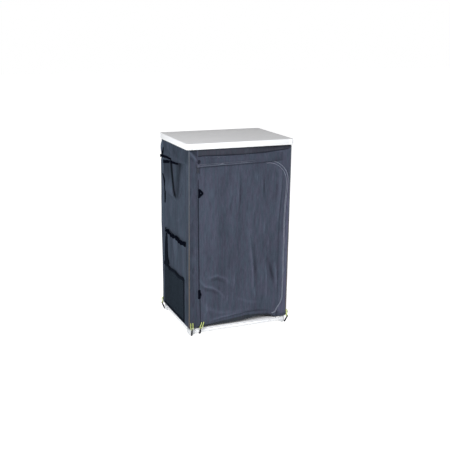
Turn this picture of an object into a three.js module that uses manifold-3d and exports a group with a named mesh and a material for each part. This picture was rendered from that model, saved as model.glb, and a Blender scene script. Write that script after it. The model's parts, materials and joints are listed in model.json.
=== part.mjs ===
// A folding camping cupboard. A fabric cover with a zipped door hangs on a tube frame under a table top,
// and two shelf boards lie in fabric slings. The four legs fold inwards at their knuckles, so that the table
// top comes straight down onto the base. Millimetres, +X to the right from the front, +Y to the back, +Z up,
// with the origin on the ground under the middle.

import * as THREE from 'three';
import { mergeVertices } from 'three/addons/utils/BufferGeometryUtils.js';
import Module from 'manifold-3d';

const wasm = await Module();
wasm.setup();

// Driving dimensions of the whole unit
const unit_height = 1030;
const table_width = 600;
const table_depth = 450;
const table_edge_height = 30;
const cover_inset_side = 14;
const cover_inset_front = 7;
const cover_cloth = 2;
const hem_height = 44;

// Gaps between pieces that touch, and the overrun of a cut past a face
const fit_gap = 0.3;
const overrun = 1;

// Frame rails
const rail_diameter = 20;
const rail_wall = 1.5;
const rail_sides = 16;

// Corner blocks, each with a foot or a flat top, spigots for two rails and ears for a leg
const foot_height = 8;
const foot_diameter = 20;
const foot_tip_diameter = 16;
const block_wall = 2.7;
const block_margin = 4;
const block_round = 12;
const block_inner_round = 3;
const spigot_length = 18;
const ear_thickness = 4;
const ear_radius = 8.5;
const pin_radius = 2.5;
const pin_clearance = 0.6;
const round_sides = 12;

// Legs, each in two halves with a knuckle between them
const leg_diameter = 16;
const leg_sides = 12;
const plug_diameter = 16.8;
const plug_length = 12;
const plug_stand_off = 3.5;
const tongue_half = 4;
const tongue_neck_half = 6;
const knuckle_offset = 10;
const knuckle_radius = 7;
const knuckle_half = 8.5;
const knuckle_length = 30;
const knuckle_slot_half = 3.2;
const knuckle_turn_gap = 0.4;
const knuckle_clear_of_cover = 3;
const leg_clear_of_cover = 4.5;
const leg_pass_gap = 2;
const fold_gap = 7.5;

// Table top
const table_corner_round = 18;
const table_panel_thickness = 12;
const edge_wall = 2.5;
const edge_sheet = 1.5;
const edge_top_lip = 4;
const edge_middle_flange = 14;
const edge_bottom_flange = 25;
const edge_round = 2;
const cap_length = 30;

// Boards and slings
const board_thickness = 5;
const board_clear_of_cover = 3;
const board_round = 8;
const notch_gap = 1;
const sling_cloth = 1.5;
const sling_lip = 14;
const shelf_clear_of_legs = 2;
const shelf_height_shares = { lower: 0.333, upper: 0.667 };

// Door, zip and flap. The margins run from the cover's side edges, the table's underside and the hem.
const door_margin_left = 48;
const door_margin_right = 28;
const door_margin_top = 85;
const door_margin_bottom = 22;
const door_round = 104;
const door_seam = 0.6;
const zip_height = 7;
const zip_thickness = 1.5;
const zip_left_overlap = 9;
const flap_height = 36;
const flap_margin_right = 48;
const flap_cloth = 1.5;
const flap_round = 5;
const slider_length = 14;
const slider_thickness = 3.6;
const slider_height = 13;
const slider_waist_share = 0.72;
const bail_radius = 1.1;
const pull_length = 26;
const pull_width = 8;
const pull_eye_width = 5;
const pull_thickness = 1;
const piping_radius = 2.5;

// Tie loops on the door, for holding it rolled up
const tie_radius = 12;
const tie_stretch_share = 1.6;
const tie_cord_radius = 1.8;
const tie_height_shares = [0.197, 0.83];

// Side pockets: ends as shares of the wall's height, and edges from its middle as shares of half its depth
const pocket_shares = {
  upper: { bottom: 0.624, top: 0.901, front: 0.716, rear: 0.94, gathered_front: 0.284, gathered_rear: 0.9 },
  middle: { bottom: 0.268, top: 0.477, front: 0.757, rear: 0.849 },
  mesh: { bottom: 0.008, top: 0.26, front: 0.679, rear: 0.858 },
};
const pocket_mouths = { upper: 10, middle: 7, mesh: 8 };
const pocket_cloth = 1.2;
const binding_height = 9;
const binding_depth = 1.3;

// Folds of the cloth: how deep they are, and the shares of a panel over which they fade out
const door_fold_depth = 2;
const wall_belly = 3;
const threshold_draw_in = 6;
const belly_fade_shares = [0.6, 0.95];
const door_fade_shares = { left: [0, 0.12], right: [0.86, 1], bottom: [-0.02, 0.1], top: [0.82, 0.97] };
const threshold_fade_shares = [-0.03, 0.01];

// The door's folds as waves: strength, half waves over the width, lean over the height, and where they end
const door_wave_shares = [
  { strength: 0.6, half_waves: 3.2, lean: 0.64, end: Infinity },
  { strength: 0.3, half_waves: 7.4, lean: -0.95, end: Infinity },
  { strength: 0.4, half_waves: 4, lean: 3.2, end: 0.3 },
];

// The upper pocket's pleats: their count at the gathered end and at the mouth, and their depth
const pleat_counts = { gathered: 3, mouth: 4 };
const pleat_depth_share = 0.65;
const gather_share = 0.85;

// Hooks and elastic loops
const hook_radius = 1.8;
const hook_ring_radius = 3.2;
const hook_ring_wire = 1.2;
const hook_tip = 2;
const hook_tip_share = 0.25;
const elastic_radius = 1.2;
const elastic_half_width = 4;
const elastic_bend = 2.2;
const elastic_height = 30;
const elastic_height_shares = { middle: 0.5, low: 0.25 };
const elastic_draw_in_share = 0.2;

// Places that follow from the sizes above
const rail_radius = rail_diameter / 2;
const leg_radius = leg_diameter / 2;
const cover_x = table_width / 2 - cover_inset_side;
const cover_y = table_depth / 2 - cover_inset_front;
const inside_x = cover_x - cover_cloth;
const inside_y = cover_y - cover_cloth;
const block_x = inside_x - fit_gap;
const block_y = inside_y - fit_gap;
const rail_x = block_x - block_wall - rail_radius;
const rail_y = block_y - block_wall - rail_radius;
const base_rail_z = foot_height + block_wall + rail_radius;
const table_bottom = unit_height - table_edge_height;
const top_rail_z = table_bottom - fit_gap - rail_radius;

const leg_x = inside_x - knuckle_clear_of_cover - knuckle_radius - knuckle_offset;
const outer_leg_y = inside_y - leg_clear_of_cover - knuckle_half;
const inner_leg_y = outer_leg_y - knuckle_half - leg_radius - leg_pass_gap;
const base_pivot_z = base_rail_z + rail_radius + fold_gap + leg_radius;
const top_pivot_z = top_rail_z - rail_radius - fold_gap - leg_radius;
const leg_half = (top_pivot_z - base_pivot_z) / 2;

const ear_reach = tongue_half + fit_gap + ear_thickness;
const block_length = block_x - leg_x + ear_radius + block_margin;
const block_depth = block_y - inner_leg_y + ear_reach + block_margin;
const base_board_top = base_rail_z + rail_radius + fit_gap + board_thickness;
const shelf_span = top_rail_z - rail_radius - base_board_top;
const shelf_half_y = inner_leg_y - knuckle_half - shelf_clear_of_legs;

const lower_shelf_z = base_board_top + shelf_height_shares.lower * shelf_span;
const upper_shelf_z = base_board_top + shelf_height_shares.upper * shelf_span;
const cover_top = table_bottom - fit_gap;
const cloth_middle = cover_cloth / 2;

const left_side = -1;
const right_side = 1;
const front_side = -1;
const back_side = 1;
const quarter_turn = Math.PI / 2;
const eighth_turn = Math.PI / 4;
const diagonal_share = Math.SQRT1_2;

const door_left = -cover_x + door_margin_left;
const door_right = cover_x - door_margin_right;
const door_top = table_bottom - door_margin_top;
const door_bottom = hem_height + door_margin_bottom;

const leg_y = { [left_side]: outer_leg_y, [right_side]: inner_leg_y };
const side_names = { [left_side]: 'left', [right_side]: 'right' };
const end_names = { [front_side]: 'front', [back_side]: 'rear' };

// Facets: steps of a round corner, sides of round cords and rings, columns and rows of cloth
const corner_steps = { fine: 8, middle: 4, small: 3, least: 2 };
const cord_sides = { thin: 6, thick: 8 };
const ring_sides = 5;
const ring_steps = 10;
const cord_steps = { hook: 12, elastic: 16 };
const cloth_columns = { front: 20, bellied: 8, flat: 2, pleated: 20, pocket: 8 };
const cloth_rows = { front: 19, bellied: 12, flat: 3, pleated: 8, pocket: 6 };

// Colours and surfaces
const surfaces = {
  table_panel: [0xc7c7c9, 0.5, 0],
  white_edge: [0xe9ebee, 0.4, 0.1],
  white_plastic: [0xe2e4e6, 0.5, 0],
  grey_plastic: [0xc9cbce, 0.5, 0],
  silver_tube: [0xdfe2e5, 0.35, 0.8],
  board: [0xb9bbbe, 0.6, 0],
  cover_cloth: [0x484d5a, 0.9, 0],
  side_cloth: [0x434c54, 0.9, 0],
  mesh: [0x232c35, 0.95, 0],
  dark_trim: [0x0f1117, 0.7, 0],
  elastic: [0xd5e48c, 0.7, 0],
};

// A closed geometry as a solid that can be joined and cut
function solid(geometry) {
  const bare = geometry.clone();
  bare.deleteAttribute('normal');
  bare.deleteAttribute('uv');
  const merged = mergeVertices(bare);
  const mesh = new wasm.Mesh({
    numProp: 3,
    vertProperties: merged.attributes.position.array,
    triVerts: new Uint32Array(merged.index.array),
  });
  return new wasm.Manifold(mesh);
}

// A solid back as a geometry
function geometryOf(body) {
  const mesh = body.getMesh();
  const geometry = new THREE.BufferGeometry();
  geometry.setAttribute('position', new THREE.BufferAttribute(new Float32Array(mesh.vertProperties), 3));
  geometry.setIndex(new THREE.BufferAttribute(new Uint32Array(mesh.triVerts), 1));
  geometry.computeVertexNormals();
  return geometry;
}

function join(...bodies) {
  return bodies.reduce((whole, body) => whole.add(body));
}

// A block between two corners
function slab(x0, x1, y0, y1, z0, z1) {
  const box = new THREE.BoxGeometry(Math.abs(x1 - x0), Math.abs(y1 - y0), Math.abs(z1 - z0));
  return solid(box.translate((x0 + x1) / 2, (y0 + y1) / 2, (z0 + z1) / 2));
}

// A round bar between two points
function bar(from, to, radius, sides, end_radius = radius) {
  const start = new THREE.Vector3(...from);
  const end = new THREE.Vector3(...to);
  const along = end.clone().sub(start);
  const geometry = new THREE.CylinderGeometry(end_radius, radius, along.length(), sides);
  const upward = new THREE.Vector3(0, 1, 0);
  geometry.applyQuaternion(new THREE.Quaternion().setFromUnitVectors(upward, along.clone().normalize()));
  const middle = start.add(end).divideScalar(2);
  return solid(geometry.translate(middle.x, middle.y, middle.z));
}

// A closed outline whose corners are rounded: each corner is x, y and radius, going anticlockwise
function roundedOutline(corners) {
  const shape = new THREE.Shape();
  const count = corners.length;
  corners.forEach(([x, y, radius = 0], index) => {
    const [px, py] = corners[(index + count - 1) % count];
    const [nx, ny] = corners[(index + 1) % count];
    const here = new THREE.Vector2(x, y);
    const back = new THREE.Vector2(px, py).sub(here).normalize();
    const ahead = new THREE.Vector2(nx, ny).sub(here).normalize();
    if (radius === 0) {
      if (index === 0) shape.moveTo(x, y);
      else shape.lineTo(x, y);
      return;
    }
    const half_angle = Math.acos(back.dot(ahead)) / 2;
    const tangent = radius / Math.tan(half_angle);
    const start = here.clone().addScaledVector(back, tangent);
    const end = here.clone().addScaledVector(ahead, tangent);
    const inward = back.clone().add(ahead).normalize();
    const centre = here.clone().addScaledVector(inward, radius / Math.sin(half_angle));
    if (index === 0) shape.moveTo(start.x, start.y);
    else shape.lineTo(start.x, start.y);
    const clockwise = back.x * ahead.y - back.y * ahead.x > 0;
    const from_angle = Math.atan2(start.y - centre.y, start.x - centre.x);
    const to_angle = Math.atan2(end.y - centre.y, end.x - centre.x);
    shape.absarc(centre.x, centre.y, radius, from_angle, to_angle, clockwise);
  });
  shape.closePath();
  return shape;
}

// An outline in X and Y raised from z0 to z1
function raised(shape, z0, z1, curveSegments = corner_steps.middle) {
  const settings = { depth: z1 - z0, bevelEnabled: false, curveSegments };
  return solid(new THREE.ExtrudeGeometry(shape, settings).translate(0, 0, z0));
}

// An outline in X and Z given depth along Y, from y0 to y1
function upright(shape, y0, y1, curveSegments = corner_steps.middle) {
  const settings = { depth: y1 - y0, bevelEnabled: false, curveSegments };
  return solid(new THREE.ExtrudeGeometry(shape, settings).rotateX(quarter_turn).translate(0, y1, 0));
}

// A round cord or wire along a curve
function wire(curve, radius, sides, steps) {
  const section = new THREE.Shape();
  section.absarc(0, 0, radius, 0, 2 * Math.PI, false);
  const divisions = { steps, curveSegments: sides / 2, bevelEnabled: false };
  return solid(new THREE.ExtrudeGeometry(section, { ...divisions, extrudePath: curve }));
}

// A closed sheet of cloth over a grid of u and v from 0 to 1. pointAt gives the point of face 0 or 1.
function clothSheet(grid, pointAt) {
  const columns = cloth_columns[grid];
  const rows = cloth_rows[grid];
  const positions = [];
  const faces = [];
  const at = (face, column, row) => (face * (rows + 1) + row) * (columns + 1) + column;
  for (const face of [0, 1]) {
    for (let row = 0; row <= rows; row += 1) {
      for (let column = 0; column <= columns; column += 1) {
        positions.push(...pointAt(column / columns, row / rows, face));
      }
    }
  }
  const quad = (a, b, c, d) => faces.push(a, b, c, a, c, d);
  for (let row = 0; row < rows; row += 1) {
    for (let column = 0; column < columns; column += 1) {
      quad(at(0, column, row), at(0, column + 1, row), at(0, column + 1, row + 1), at(0, column, row + 1));
      quad(at(1, column, row), at(1, column, row + 1), at(1, column + 1, row + 1), at(1, column + 1, row));
    }
  }
  for (let column = 0; column < columns; column += 1) {
    quad(at(0, column, 0), at(1, column, 0), at(1, column + 1, 0), at(0, column + 1, 0));
    quad(at(0, column, rows), at(0, column + 1, rows), at(1, column + 1, rows), at(1, column, rows));
  }
  for (let row = 0; row < rows; row += 1) {
    quad(at(0, 0, row), at(0, 0, row + 1), at(1, 0, row + 1), at(1, 0, row));
    quad(at(0, columns, row), at(1, columns, row), at(1, columns, row + 1), at(0, columns, row + 1));
  }
  const geometry = new THREE.BufferGeometry();
  geometry.setAttribute('position', new THREE.Float32BufferAttribute(positions, 3));
  geometry.setIndex(turnedOut(faces, positions));
  return solid(geometry);
}

// The faces, turned over if they point into the solid
function turnedOut(faces, positions) {
  const corner = (index) => new THREE.Vector3().fromArray(positions, 3 * index);
  let volume = 0;
  for (let start = 0; start < faces.length; start += 3) {
    const [a, b, c] = faces.slice(start, start + 3).map(corner);
    volume += a.dot(b.cross(c));
  }
  return volume < 0 ? faces.reverse() : faces;
}

const between = (from, to, share) => from + (to - from) * share;
const smooth = (low, high, value) => THREE.MathUtils.smoothstep(value, low, high);

const unit = new THREE.Group();

// One named piece, in its own material, placed in a group
function place(group, name, body, surface, position = [0, 0, 0], turn = 0) {
  const [color, roughness, metalness] = surfaces[surface];
  const material = new THREE.MeshStandardMaterial({ color, roughness, metalness });
  const mesh = new THREE.Mesh(geometryOf(body), material);
  mesh.name = name;
  mesh.position.set(...position);
  mesh.rotation.z = turn;
  group.add(mesh);
}

// A hollow rail of the frame, along X or Y, centred on its own origin
function railTube(half_length, along_x) {
  const end = (share) => (along_x ? [share * half_length, 0, 0] : [0, share * half_length, 0]);
  const open_share = 1 + overrun / half_length;
  const outside = bar(end(-1), end(1), rail_radius, rail_sides);
  return outside.subtract(bar(end(-open_share), end(open_share), rail_radius - rail_wall, rail_sides));
}

// The plan of a corner block, from the rails' crossing, with its large round at the unit's corner
function blockPlan(side, end) {
  const out_x = block_x - rail_x;
  const out_y = block_y - rail_y;
  const in_x = out_x - block_length;
  const in_y = out_y - block_depth;
  const corners = [
    [out_x, in_y, block_inner_round],
    [out_x, out_y, block_round],
    [in_x, out_y, block_inner_round],
    [in_x, in_y, block_inner_round],
  ].map(([x, y, radius]) => [side * x, end * y, radius]);
  return roundedOutline(side * end > 0 ? corners : corners.reverse());
}

// Two ears with a pin across them, for a leg whose pivot is at the given height over the rails' axes
function legEars(side, end, root_z, pivot_z) {
  const x = side * (leg_x - rail_x);
  const y = end * (leg_y[side] - rail_y);
  const low = Math.min(root_z, pivot_z);
  const high = Math.max(root_z, pivot_z);
  const slot_half = tongue_half + fit_gap;
  const both = join(
    slab(x - ear_radius, x + ear_radius, y - ear_reach, y + ear_reach, low, high),
    bar([x, y - ear_reach, pivot_z], [x, y + ear_reach, pivot_z], ear_radius, round_sides),
  );
  const turning_room = ear_radius + overrun;
  const slot_low = root_z < pivot_z ? root_z : pivot_z - turning_room;
  const slot_high = root_z < pivot_z ? pivot_z + turning_room : root_z;
  const slot = slab(x - turning_room, x + turning_room, y - slot_half, y + slot_half, slot_low, slot_high);
  const pin = bar([x, y - ear_reach, pivot_z], [x, y + ear_reach, pivot_z], pin_radius, round_sides);
  return join(both.subtract(slot), pin);
}

// The two spigots that the rails push onto
function railSpigots(side, end) {
  const radius = rail_radius - rail_wall - fit_gap;
  const face_x = block_x - rail_x - block_length;
  const face_y = block_y - rail_y - block_depth;
  const root = block_inner_round;
  return join(
    bar([side * (face_x + root), 0, 0], [side * (face_x - spigot_length), 0, 0], radius, rail_sides),
    bar([0, end * (face_y + root), 0], [0, end * (face_y - spigot_length), 0], radius, rail_sides),
  );
}

function baseCorner(side, end) {
  const block_top = rail_radius + block_wall;
  const block_bottom = foot_height - base_rail_z;
  const foot = bar(
    [0, 0, -base_rail_z],
    [0, 0, block_bottom + overrun],
    foot_tip_diameter / 2,
    round_sides,
    foot_diameter / 2,
  );
  return join(
    raised(blockPlan(side, end), block_bottom, block_top),
    foot,
    railSpigots(side, end),
    legEars(side, end, block_top - block_wall, base_pivot_z - base_rail_z),
  );
}

function topCorner(side, end) {
  const block_bottom = -rail_radius - block_wall;
  return join(
    raised(blockPlan(side, end), block_bottom, rail_radius),
    railSpigots(side, end),
    legEars(side, end, block_bottom + block_wall, top_pivot_z - top_rail_z),
  );
}

// Base and top frames: four rails and four corner blocks each
const base = new THREE.Group();
const top = new THREE.Group();
const rail_half_x = block_x - block_length - fit_gap;
const rail_half_y = block_y - block_depth - fit_gap;
for (const [group, level, name, corner] of [
  [base, base_rail_z, 'base', baseCorner],
  [top, top_rail_z, 'top', topCorner],
]) {
  for (const end of [front_side, back_side]) {
    const long_rail = railTube(rail_half_x, true);
    place(group, `${name}_rail_${end_names[end]}`, long_rail, 'silver_tube', [0, end * rail_y, level]);
  }
  for (const side of [left_side, right_side]) {
    const short_rail = railTube(rail_half_y, false);
    place(group, `${name}_rail_${side_names[side]}`, short_rail, 'silver_tube', [side * rail_x, 0, level]);
  }
  for (const end of [front_side, back_side]) {
    for (const side of [left_side, right_side]) {
      const corner_name = `${name}_corner_${end_names[end]}_${side_names[side]}`;
      const spot = [side * rail_x, end * rail_y, level];
      place(group, corner_name, corner(side, end), 'grey_plastic', spot);
    }
  }
}

// One half of a leg, with its pivot at the origin and its knuckle half at the far end. up is 1 for the
// lower half, which stands on its pivot, and -1 for the upper half. out is the side the knuckle is on.
function legEyeAndTube(up) {
  const plug_start = ear_radius + plug_stand_off;
  const plug_end = plug_start + plug_length;
  const neck_end = up * (plug_start + overrun);
  const neck = slab(-tongue_neck_half, tongue_neck_half, -tongue_half, tongue_half, 0, neck_end);
  const eye = bar([0, -tongue_half, 0], [0, tongue_half, 0], leg_radius, round_sides);
  const hole_end = tongue_half + overrun;
  const hole = bar([0, -hole_end, 0], [0, hole_end, 0], pin_radius + pin_clearance, round_sides);
  const plug = bar([0, 0, up * plug_start], [0, 0, up * plug_end], plug_diameter / 2, leg_sides);
  const tube_end = leg_half - knuckle_length + overrun;
  const tube = bar([0, 0, up * (plug_end - overrun)], [0, 0, up * tube_end], leg_radius, leg_sides);
  return join(neck, eye).subtract(hole).add(plug).add(tube);
}

// The knuckle's block beside the axis, from its butt face back along the leg
function knuckleBlock(up, out) {
  const face_z = up * (leg_half - fit_gap / 2);
  const back_z = up * (leg_half - knuckle_length);
  const near_x = out * (knuckle_offset - fit_gap);
  return slab(-out * knuckle_half, near_x, -knuckle_half, knuckle_half, back_z, face_z);
}

function knuckleBarrel(up, out, radius, from_y, to_y) {
  const axis_x = out * knuckle_offset;
  const axis_z = up * leg_half;
  return bar([axis_x, from_y, axis_z], [axis_x, to_y, axis_z], radius, round_sides);
}

function lowerLeg(out) {
  const ears = knuckleBarrel(1, out, knuckle_radius, -knuckle_half, knuckle_half);
  const turning_radius = knuckle_radius + knuckle_turn_gap;
  const slot = knuckleBarrel(1, out, turning_radius, -knuckle_slot_half, knuckle_slot_half);
  const pin = knuckleBarrel(1, out, pin_radius, -knuckle_half, knuckle_half);
  return join(legEyeAndTube(1), knuckleBlock(1, out), ears).subtract(slot).add(pin);
}

function upperLeg(out) {
  const tongue_width = knuckle_slot_half - fit_gap;
  const tongue = knuckleBarrel(-1, out, knuckle_radius, -tongue_width, tongue_width);
  const turning_radius = knuckle_radius + knuckle_turn_gap;
  const past = knuckle_half + overrun;
  const hole = knuckleBarrel(-1, out, pin_radius + pin_clearance, -past, past);
  return join(legEyeAndTube(-1), knuckleBlock(-1, out))
    .subtract(knuckleBarrel(-1, out, turning_radius, tongue_width, past))
    .subtract(knuckleBarrel(-1, out, turning_radius, -past, -tongue_width))
    .add(tongue)
    .subtract(hole);
}

const legs = new THREE.Group();
for (const end of [front_side, back_side]) {
  for (const side of [left_side, right_side]) {
    const corner_name = `${end_names[end]}_${side_names[side]}`;
    const spot = [side * leg_x, end * leg_y[side]];
    place(legs, `leg_lower_${corner_name}`, lowerLeg(side), 'silver_tube', [...spot, base_pivot_z]);
    place(legs, `leg_upper_${corner_name}`, upperLeg(side), 'silver_tube', [...spot, top_pivot_z]);
  }
}

// The base board lies on the four base rails and is notched round the corner blocks
function baseBoard() {
  const half_x = inside_x - board_clear_of_cover;
  const half_y = inside_y - board_clear_of_cover;
  const notch_x = block_x - block_length - notch_gap;
  const notch_y = block_y - block_depth - notch_gap;
  const quarter = [[half_x, notch_y], [notch_x, notch_y], [notch_x, half_y]];
  const mirrored = (sx, sy) => quarter.map(([x, y]) => [sx * x, sy * y]);
  const outline = [
    ...mirrored(1, 1),
    ...mirrored(-1, 1).reverse(),
    ...mirrored(-1, -1),
    ...mirrored(1, -1).reverse(),
  ];
  const z0 = base_rail_z + rail_radius + fit_gap;
  return raised(roundedOutline(outline), z0, z0 + board_thickness);
}

place(base, 'base_board', baseBoard(), 'board');

// A shelf is a board in a fabric sling that is sewn to the side walls, with a lip at its front and rear
function shelfSling() {
  const half_x = inside_x - fit_gap;
  const inner_y = shelf_half_y - sling_cloth;
  const profile = new THREE.Shape();
  profile.moveTo(-shelf_half_y, 0);
  profile.lineTo(shelf_half_y, 0);
  profile.lineTo(shelf_half_y, sling_lip);
  profile.lineTo(inner_y, sling_lip);
  profile.lineTo(inner_y, sling_cloth);
  profile.lineTo(-inner_y, sling_cloth);
  profile.lineTo(-inner_y, sling_lip);
  profile.lineTo(-shelf_half_y, sling_lip);
  profile.closePath();
  const geometry = new THREE.ExtrudeGeometry(profile, { depth: 2 * half_x, bevelEnabled: false });
  geometry.rotateX(quarter_turn);
  geometry.rotateZ(quarter_turn);
  return solid(geometry.translate(-half_x, 0, 0));
}

function shelfBoard() {
  const half_x = inside_x - board_clear_of_cover;
  const half_y = shelf_half_y - sling_cloth - fit_gap;
  const corners = [[-half_x, -half_y], [half_x, -half_y], [half_x, half_y], [-half_x, half_y]];
  const outline = roundedOutline(corners.map(([x, y]) => [x, y, board_round]));
  const z0 = sling_cloth + fit_gap;
  return raised(outline, z0, z0 + board_thickness);
}

const shelves = new THREE.Group();
for (const [name, level] of [['lower', lower_shelf_z], ['upper', upper_shelf_z]]) {
  place(shelves, `shelf_sling_${name}`, shelfSling(), 'side_cloth', [0, 0, level]);
  place(shelves, `shelf_board_${name}`, shelfBoard(), 'board', [0, 0, level]);
}

// The table's edge profile: outer wall, top lip over the panel, flange under it and flange on the frame.
// Its section is drawn inwards from the outer face and up from the underside.
function edgeProfile(half_length) {
  const panel_top = table_edge_height - edge_sheet;
  const seat = panel_top - 2 * fit_gap - table_panel_thickness;
  const section = roundedOutline([
    [0, 0],
    [edge_bottom_flange, 0],
    [edge_bottom_flange, edge_sheet],
    [edge_wall, edge_sheet],
    [edge_wall, seat - edge_sheet],
    [edge_middle_flange, seat - edge_sheet],
    [edge_middle_flange, seat],
    [edge_wall, seat],
    [edge_wall, panel_top],
    [edge_top_lip, panel_top],
    [edge_top_lip, table_edge_height],
    [0, table_edge_height, edge_round],
  ]);
  return upright(section, -half_length, half_length, corner_steps.least);
}

for (const end of [front_side, back_side]) {
  const profile = edgeProfile(table_width / 2 - cap_length - fit_gap);
  const spot = [0, end * (table_depth / 2), table_bottom];
  place(top, `table_edge_${end_names[end]}`, profile, 'white_edge', spot, -end * quarter_turn);
}
for (const side of [left_side, right_side]) {
  const profile = edgeProfile(table_depth / 2 - cap_length - fit_gap);
  const spot = [side * (table_width / 2), 0, table_bottom];
  place(top, `table_edge_${side_names[side]}`, profile, 'white_edge', spot, side > 0 ? Math.PI : 0);
}

// A corner cap carries the edge's wall, top lip and bottom flange round the corner, from the corner inwards
function cornerCap(side, end) {
  const plan = (offset, radius, reach) => {
    const corners = [
      [offset, reach],
      [offset, offset, radius],
      [reach, offset],
      [reach, reach],
    ].map(([x, y, round]) => [-side * x, -end * y, round]);
    return roundedOutline(side * end > 0 ? corners : corners.reverse());
  };
  const past = cap_length + overrun;
  const inner_round = table_corner_round - edge_wall;
  const top_sheet = table_edge_height - edge_sheet;
  const whole = raised(plan(0, table_corner_round, cap_length), 0, table_edge_height);
  const hollow = raised(plan(edge_wall, inner_round, past), edge_sheet, top_sheet);
  const lip_round = table_corner_round - edge_top_lip;
  const above = raised(plan(edge_top_lip, lip_round, past), top_sheet - overrun, table_edge_height + overrun);
  const below = raised(plan(edge_bottom_flange, 0, past), -overrun, edge_sheet + overrun);
  return whole.subtract(hollow).subtract(above).subtract(below);
}

for (const end of [front_side, back_side]) {
  for (const side of [left_side, right_side]) {
    const spot = [side * (table_width / 2), end * (table_depth / 2), table_bottom];
    const cap_name = `table_cap_${end_names[end]}_${side_names[side]}`;
    place(top, cap_name, cornerCap(side, end), 'white_plastic', spot);
  }
}

// The table's panel: a plate under the lips of its edge, with a raised middle that is flush with them
function tablePanel() {
  const plate = (inset, height) => {
    const half_x = table_width / 2 - inset - fit_gap;
    const half_y = table_depth / 2 - inset - fit_gap;
    const corners = [[-half_x, -half_y], [half_x, -half_y], [half_x, half_y], [-half_x, half_y]];
    const outline = roundedOutline(corners.map(([x, y]) => [x, y, table_corner_round - inset]));
    return raised(outline, 0, height);
  };
  const middle_height = table_panel_thickness + fit_gap + edge_sheet;
  return join(plate(edge_wall, table_panel_thickness), plate(edge_top_lip, middle_height));
}

const panel_z = unit_height - edge_sheet - fit_gap - table_panel_thickness;
place(top, 'table_panel', tablePanel(), 'table_panel', [0, 0, panel_z]);

// How far a wall bellies out at a height: it is held at the hem, at each shelf and at the top
function bellyAt(z) {
  const held = [hem_height, lower_shelf_z, upper_shelf_z, cover_top];
  const bay = held.findIndex((level, index) => index > 0 && z <= level);
  if (bay < 1) return 0;
  const share = (z - held[bay - 1]) / (held[bay] - held[bay - 1]);
  return wall_belly * Math.sin(Math.PI * share) ** 2;
}

const wall_edge_y = cover_y - cloth_middle - piping_radius - fit_gap;

// The right wall bellies out between its edges, and the left wall lies flat behind its pockets
function sideWall(side) {
  const bellied = side === right_side;
  return clothSheet(bellied ? 'bellied' : 'flat', (u, v, face) => {
    const y = between(-wall_edge_y, wall_edge_y, u);
    const z = between(hem_height, cover_top, v);
    const out = bellied ? bellyAt(z) * (1 - smooth(...belly_fade_shares, Math.abs(y) / inside_y)) : 0;
    return [side * (cover_x + out - face * cover_cloth), y, z];
  });
}

// The rolled piping down the two upright edges of the front or the back
function cornerPiping(end) {
  const x = cover_x - cloth_middle;
  const y = end * (cover_y - cloth_middle);
  const rod = (side) =>
    bar([side * x, y, hem_height], [side * x, y, cover_top], piping_radius, cord_sides.thick);
  return join(rod(left_side), rod(right_side));
}

function backWall() {
  const sheet = clothSheet('bellied', (u, v, face) => {
    const x = between(-cover_x + cloth_middle, cover_x - cloth_middle, u);
    const z = between(hem_height, cover_top, v);
    const out = bellyAt(z) * (1 - smooth(...belly_fade_shares, Math.abs(x) / cover_x));
    return [x, cover_y + out - face * cover_cloth, z];
  });
  return sheet.add(cornerPiping(back_side));
}

// How far the front stands out at a place: soft upright folds on the door, and a hem drawn in under it
function frontFolds(x, z) {
  const across = (x - door_left) / (door_right - door_left);
  const up = (z - door_bottom) / (door_top - door_bottom);
  const { left, right, bottom, top: upper } = door_fade_shares;
  const on_door = smooth(...left, across) * (1 - smooth(...right, across));
  const hung = smooth(...bottom, up) * (1 - smooth(...upper, up));
  const wave = ({ strength, half_waves, lean, end }) => {
    const left_over = end < 1 ? 1 - smooth(0, end, up) : 1;
    return strength * left_over * Math.sin(Math.PI * (half_waves * across + lean * up));
  };
  const folds = door_wave_shares.map(wave).reduce((sum, height) => sum + height);
  const draw_in = (1 - smooth(...threshold_fade_shares, up)) * on_door * threshold_draw_in;
  return door_fold_depth * on_door * hung * folds - draw_in;
}

function frontSheet() {
  return clothSheet('front', (u, v, face) => {
    const x = between(-cover_x + cloth_middle, cover_x - cloth_middle, u);
    const z = between(hem_height, cover_top, v);
    return [x, -cover_y - frontFolds(x, z) + face * cover_cloth, z];
  });
}

// The door's D-shaped outline, with its hinge seam straight at the left
function doorOutline(grow) {
  return upright(
    roundedOutline([
      [door_left - grow, door_bottom - grow],
      [door_right + grow, door_bottom - grow, door_round + grow],
      [door_right + grow, door_top + grow, door_round + grow],
      [door_left - grow, door_top + grow],
    ]),
    -cover_y - 2 * threshold_draw_in,
    -cover_y + 2 * threshold_draw_in + cover_cloth,
    corner_steps.fine,
  );
}

// A tie loop of black webbing, sewn to the door beside its hinge seam
function tieLoop(height_share) {
  const ring = new THREE.TorusGeometry(tie_radius, tie_cord_radius, ring_sides, ring_steps);
  ring.rotateX(quarter_turn);
  ring.scale(1, 1, tie_stretch_share);
  const z = between(door_bottom, door_top, height_share);
  const x = door_left + tie_radius + 2 * tie_cord_radius;
  return solid(ring.translate(x, -cover_y - tie_cord_radius + fit_gap, z));
}

const cover = new THREE.Group();
const front_cloth = frontSheet();
const front_panel = front_cloth.subtract(doorOutline(door_seam / 2)).add(cornerPiping(front_side));
place(cover, 'cover_front', front_panel, 'cover_cloth');
const door = front_cloth.intersect(doorOutline(-door_seam / 2));
place(cover, 'door', join(door, ...tie_height_shares.map(tieLoop)), 'cover_cloth');
place(cover, 'cover_left', sideWall(left_side), 'side_cloth');
place(cover, 'cover_right', sideWall(right_side), 'side_cloth');
place(cover, 'cover_back', backWall(), 'cover_cloth');

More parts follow.
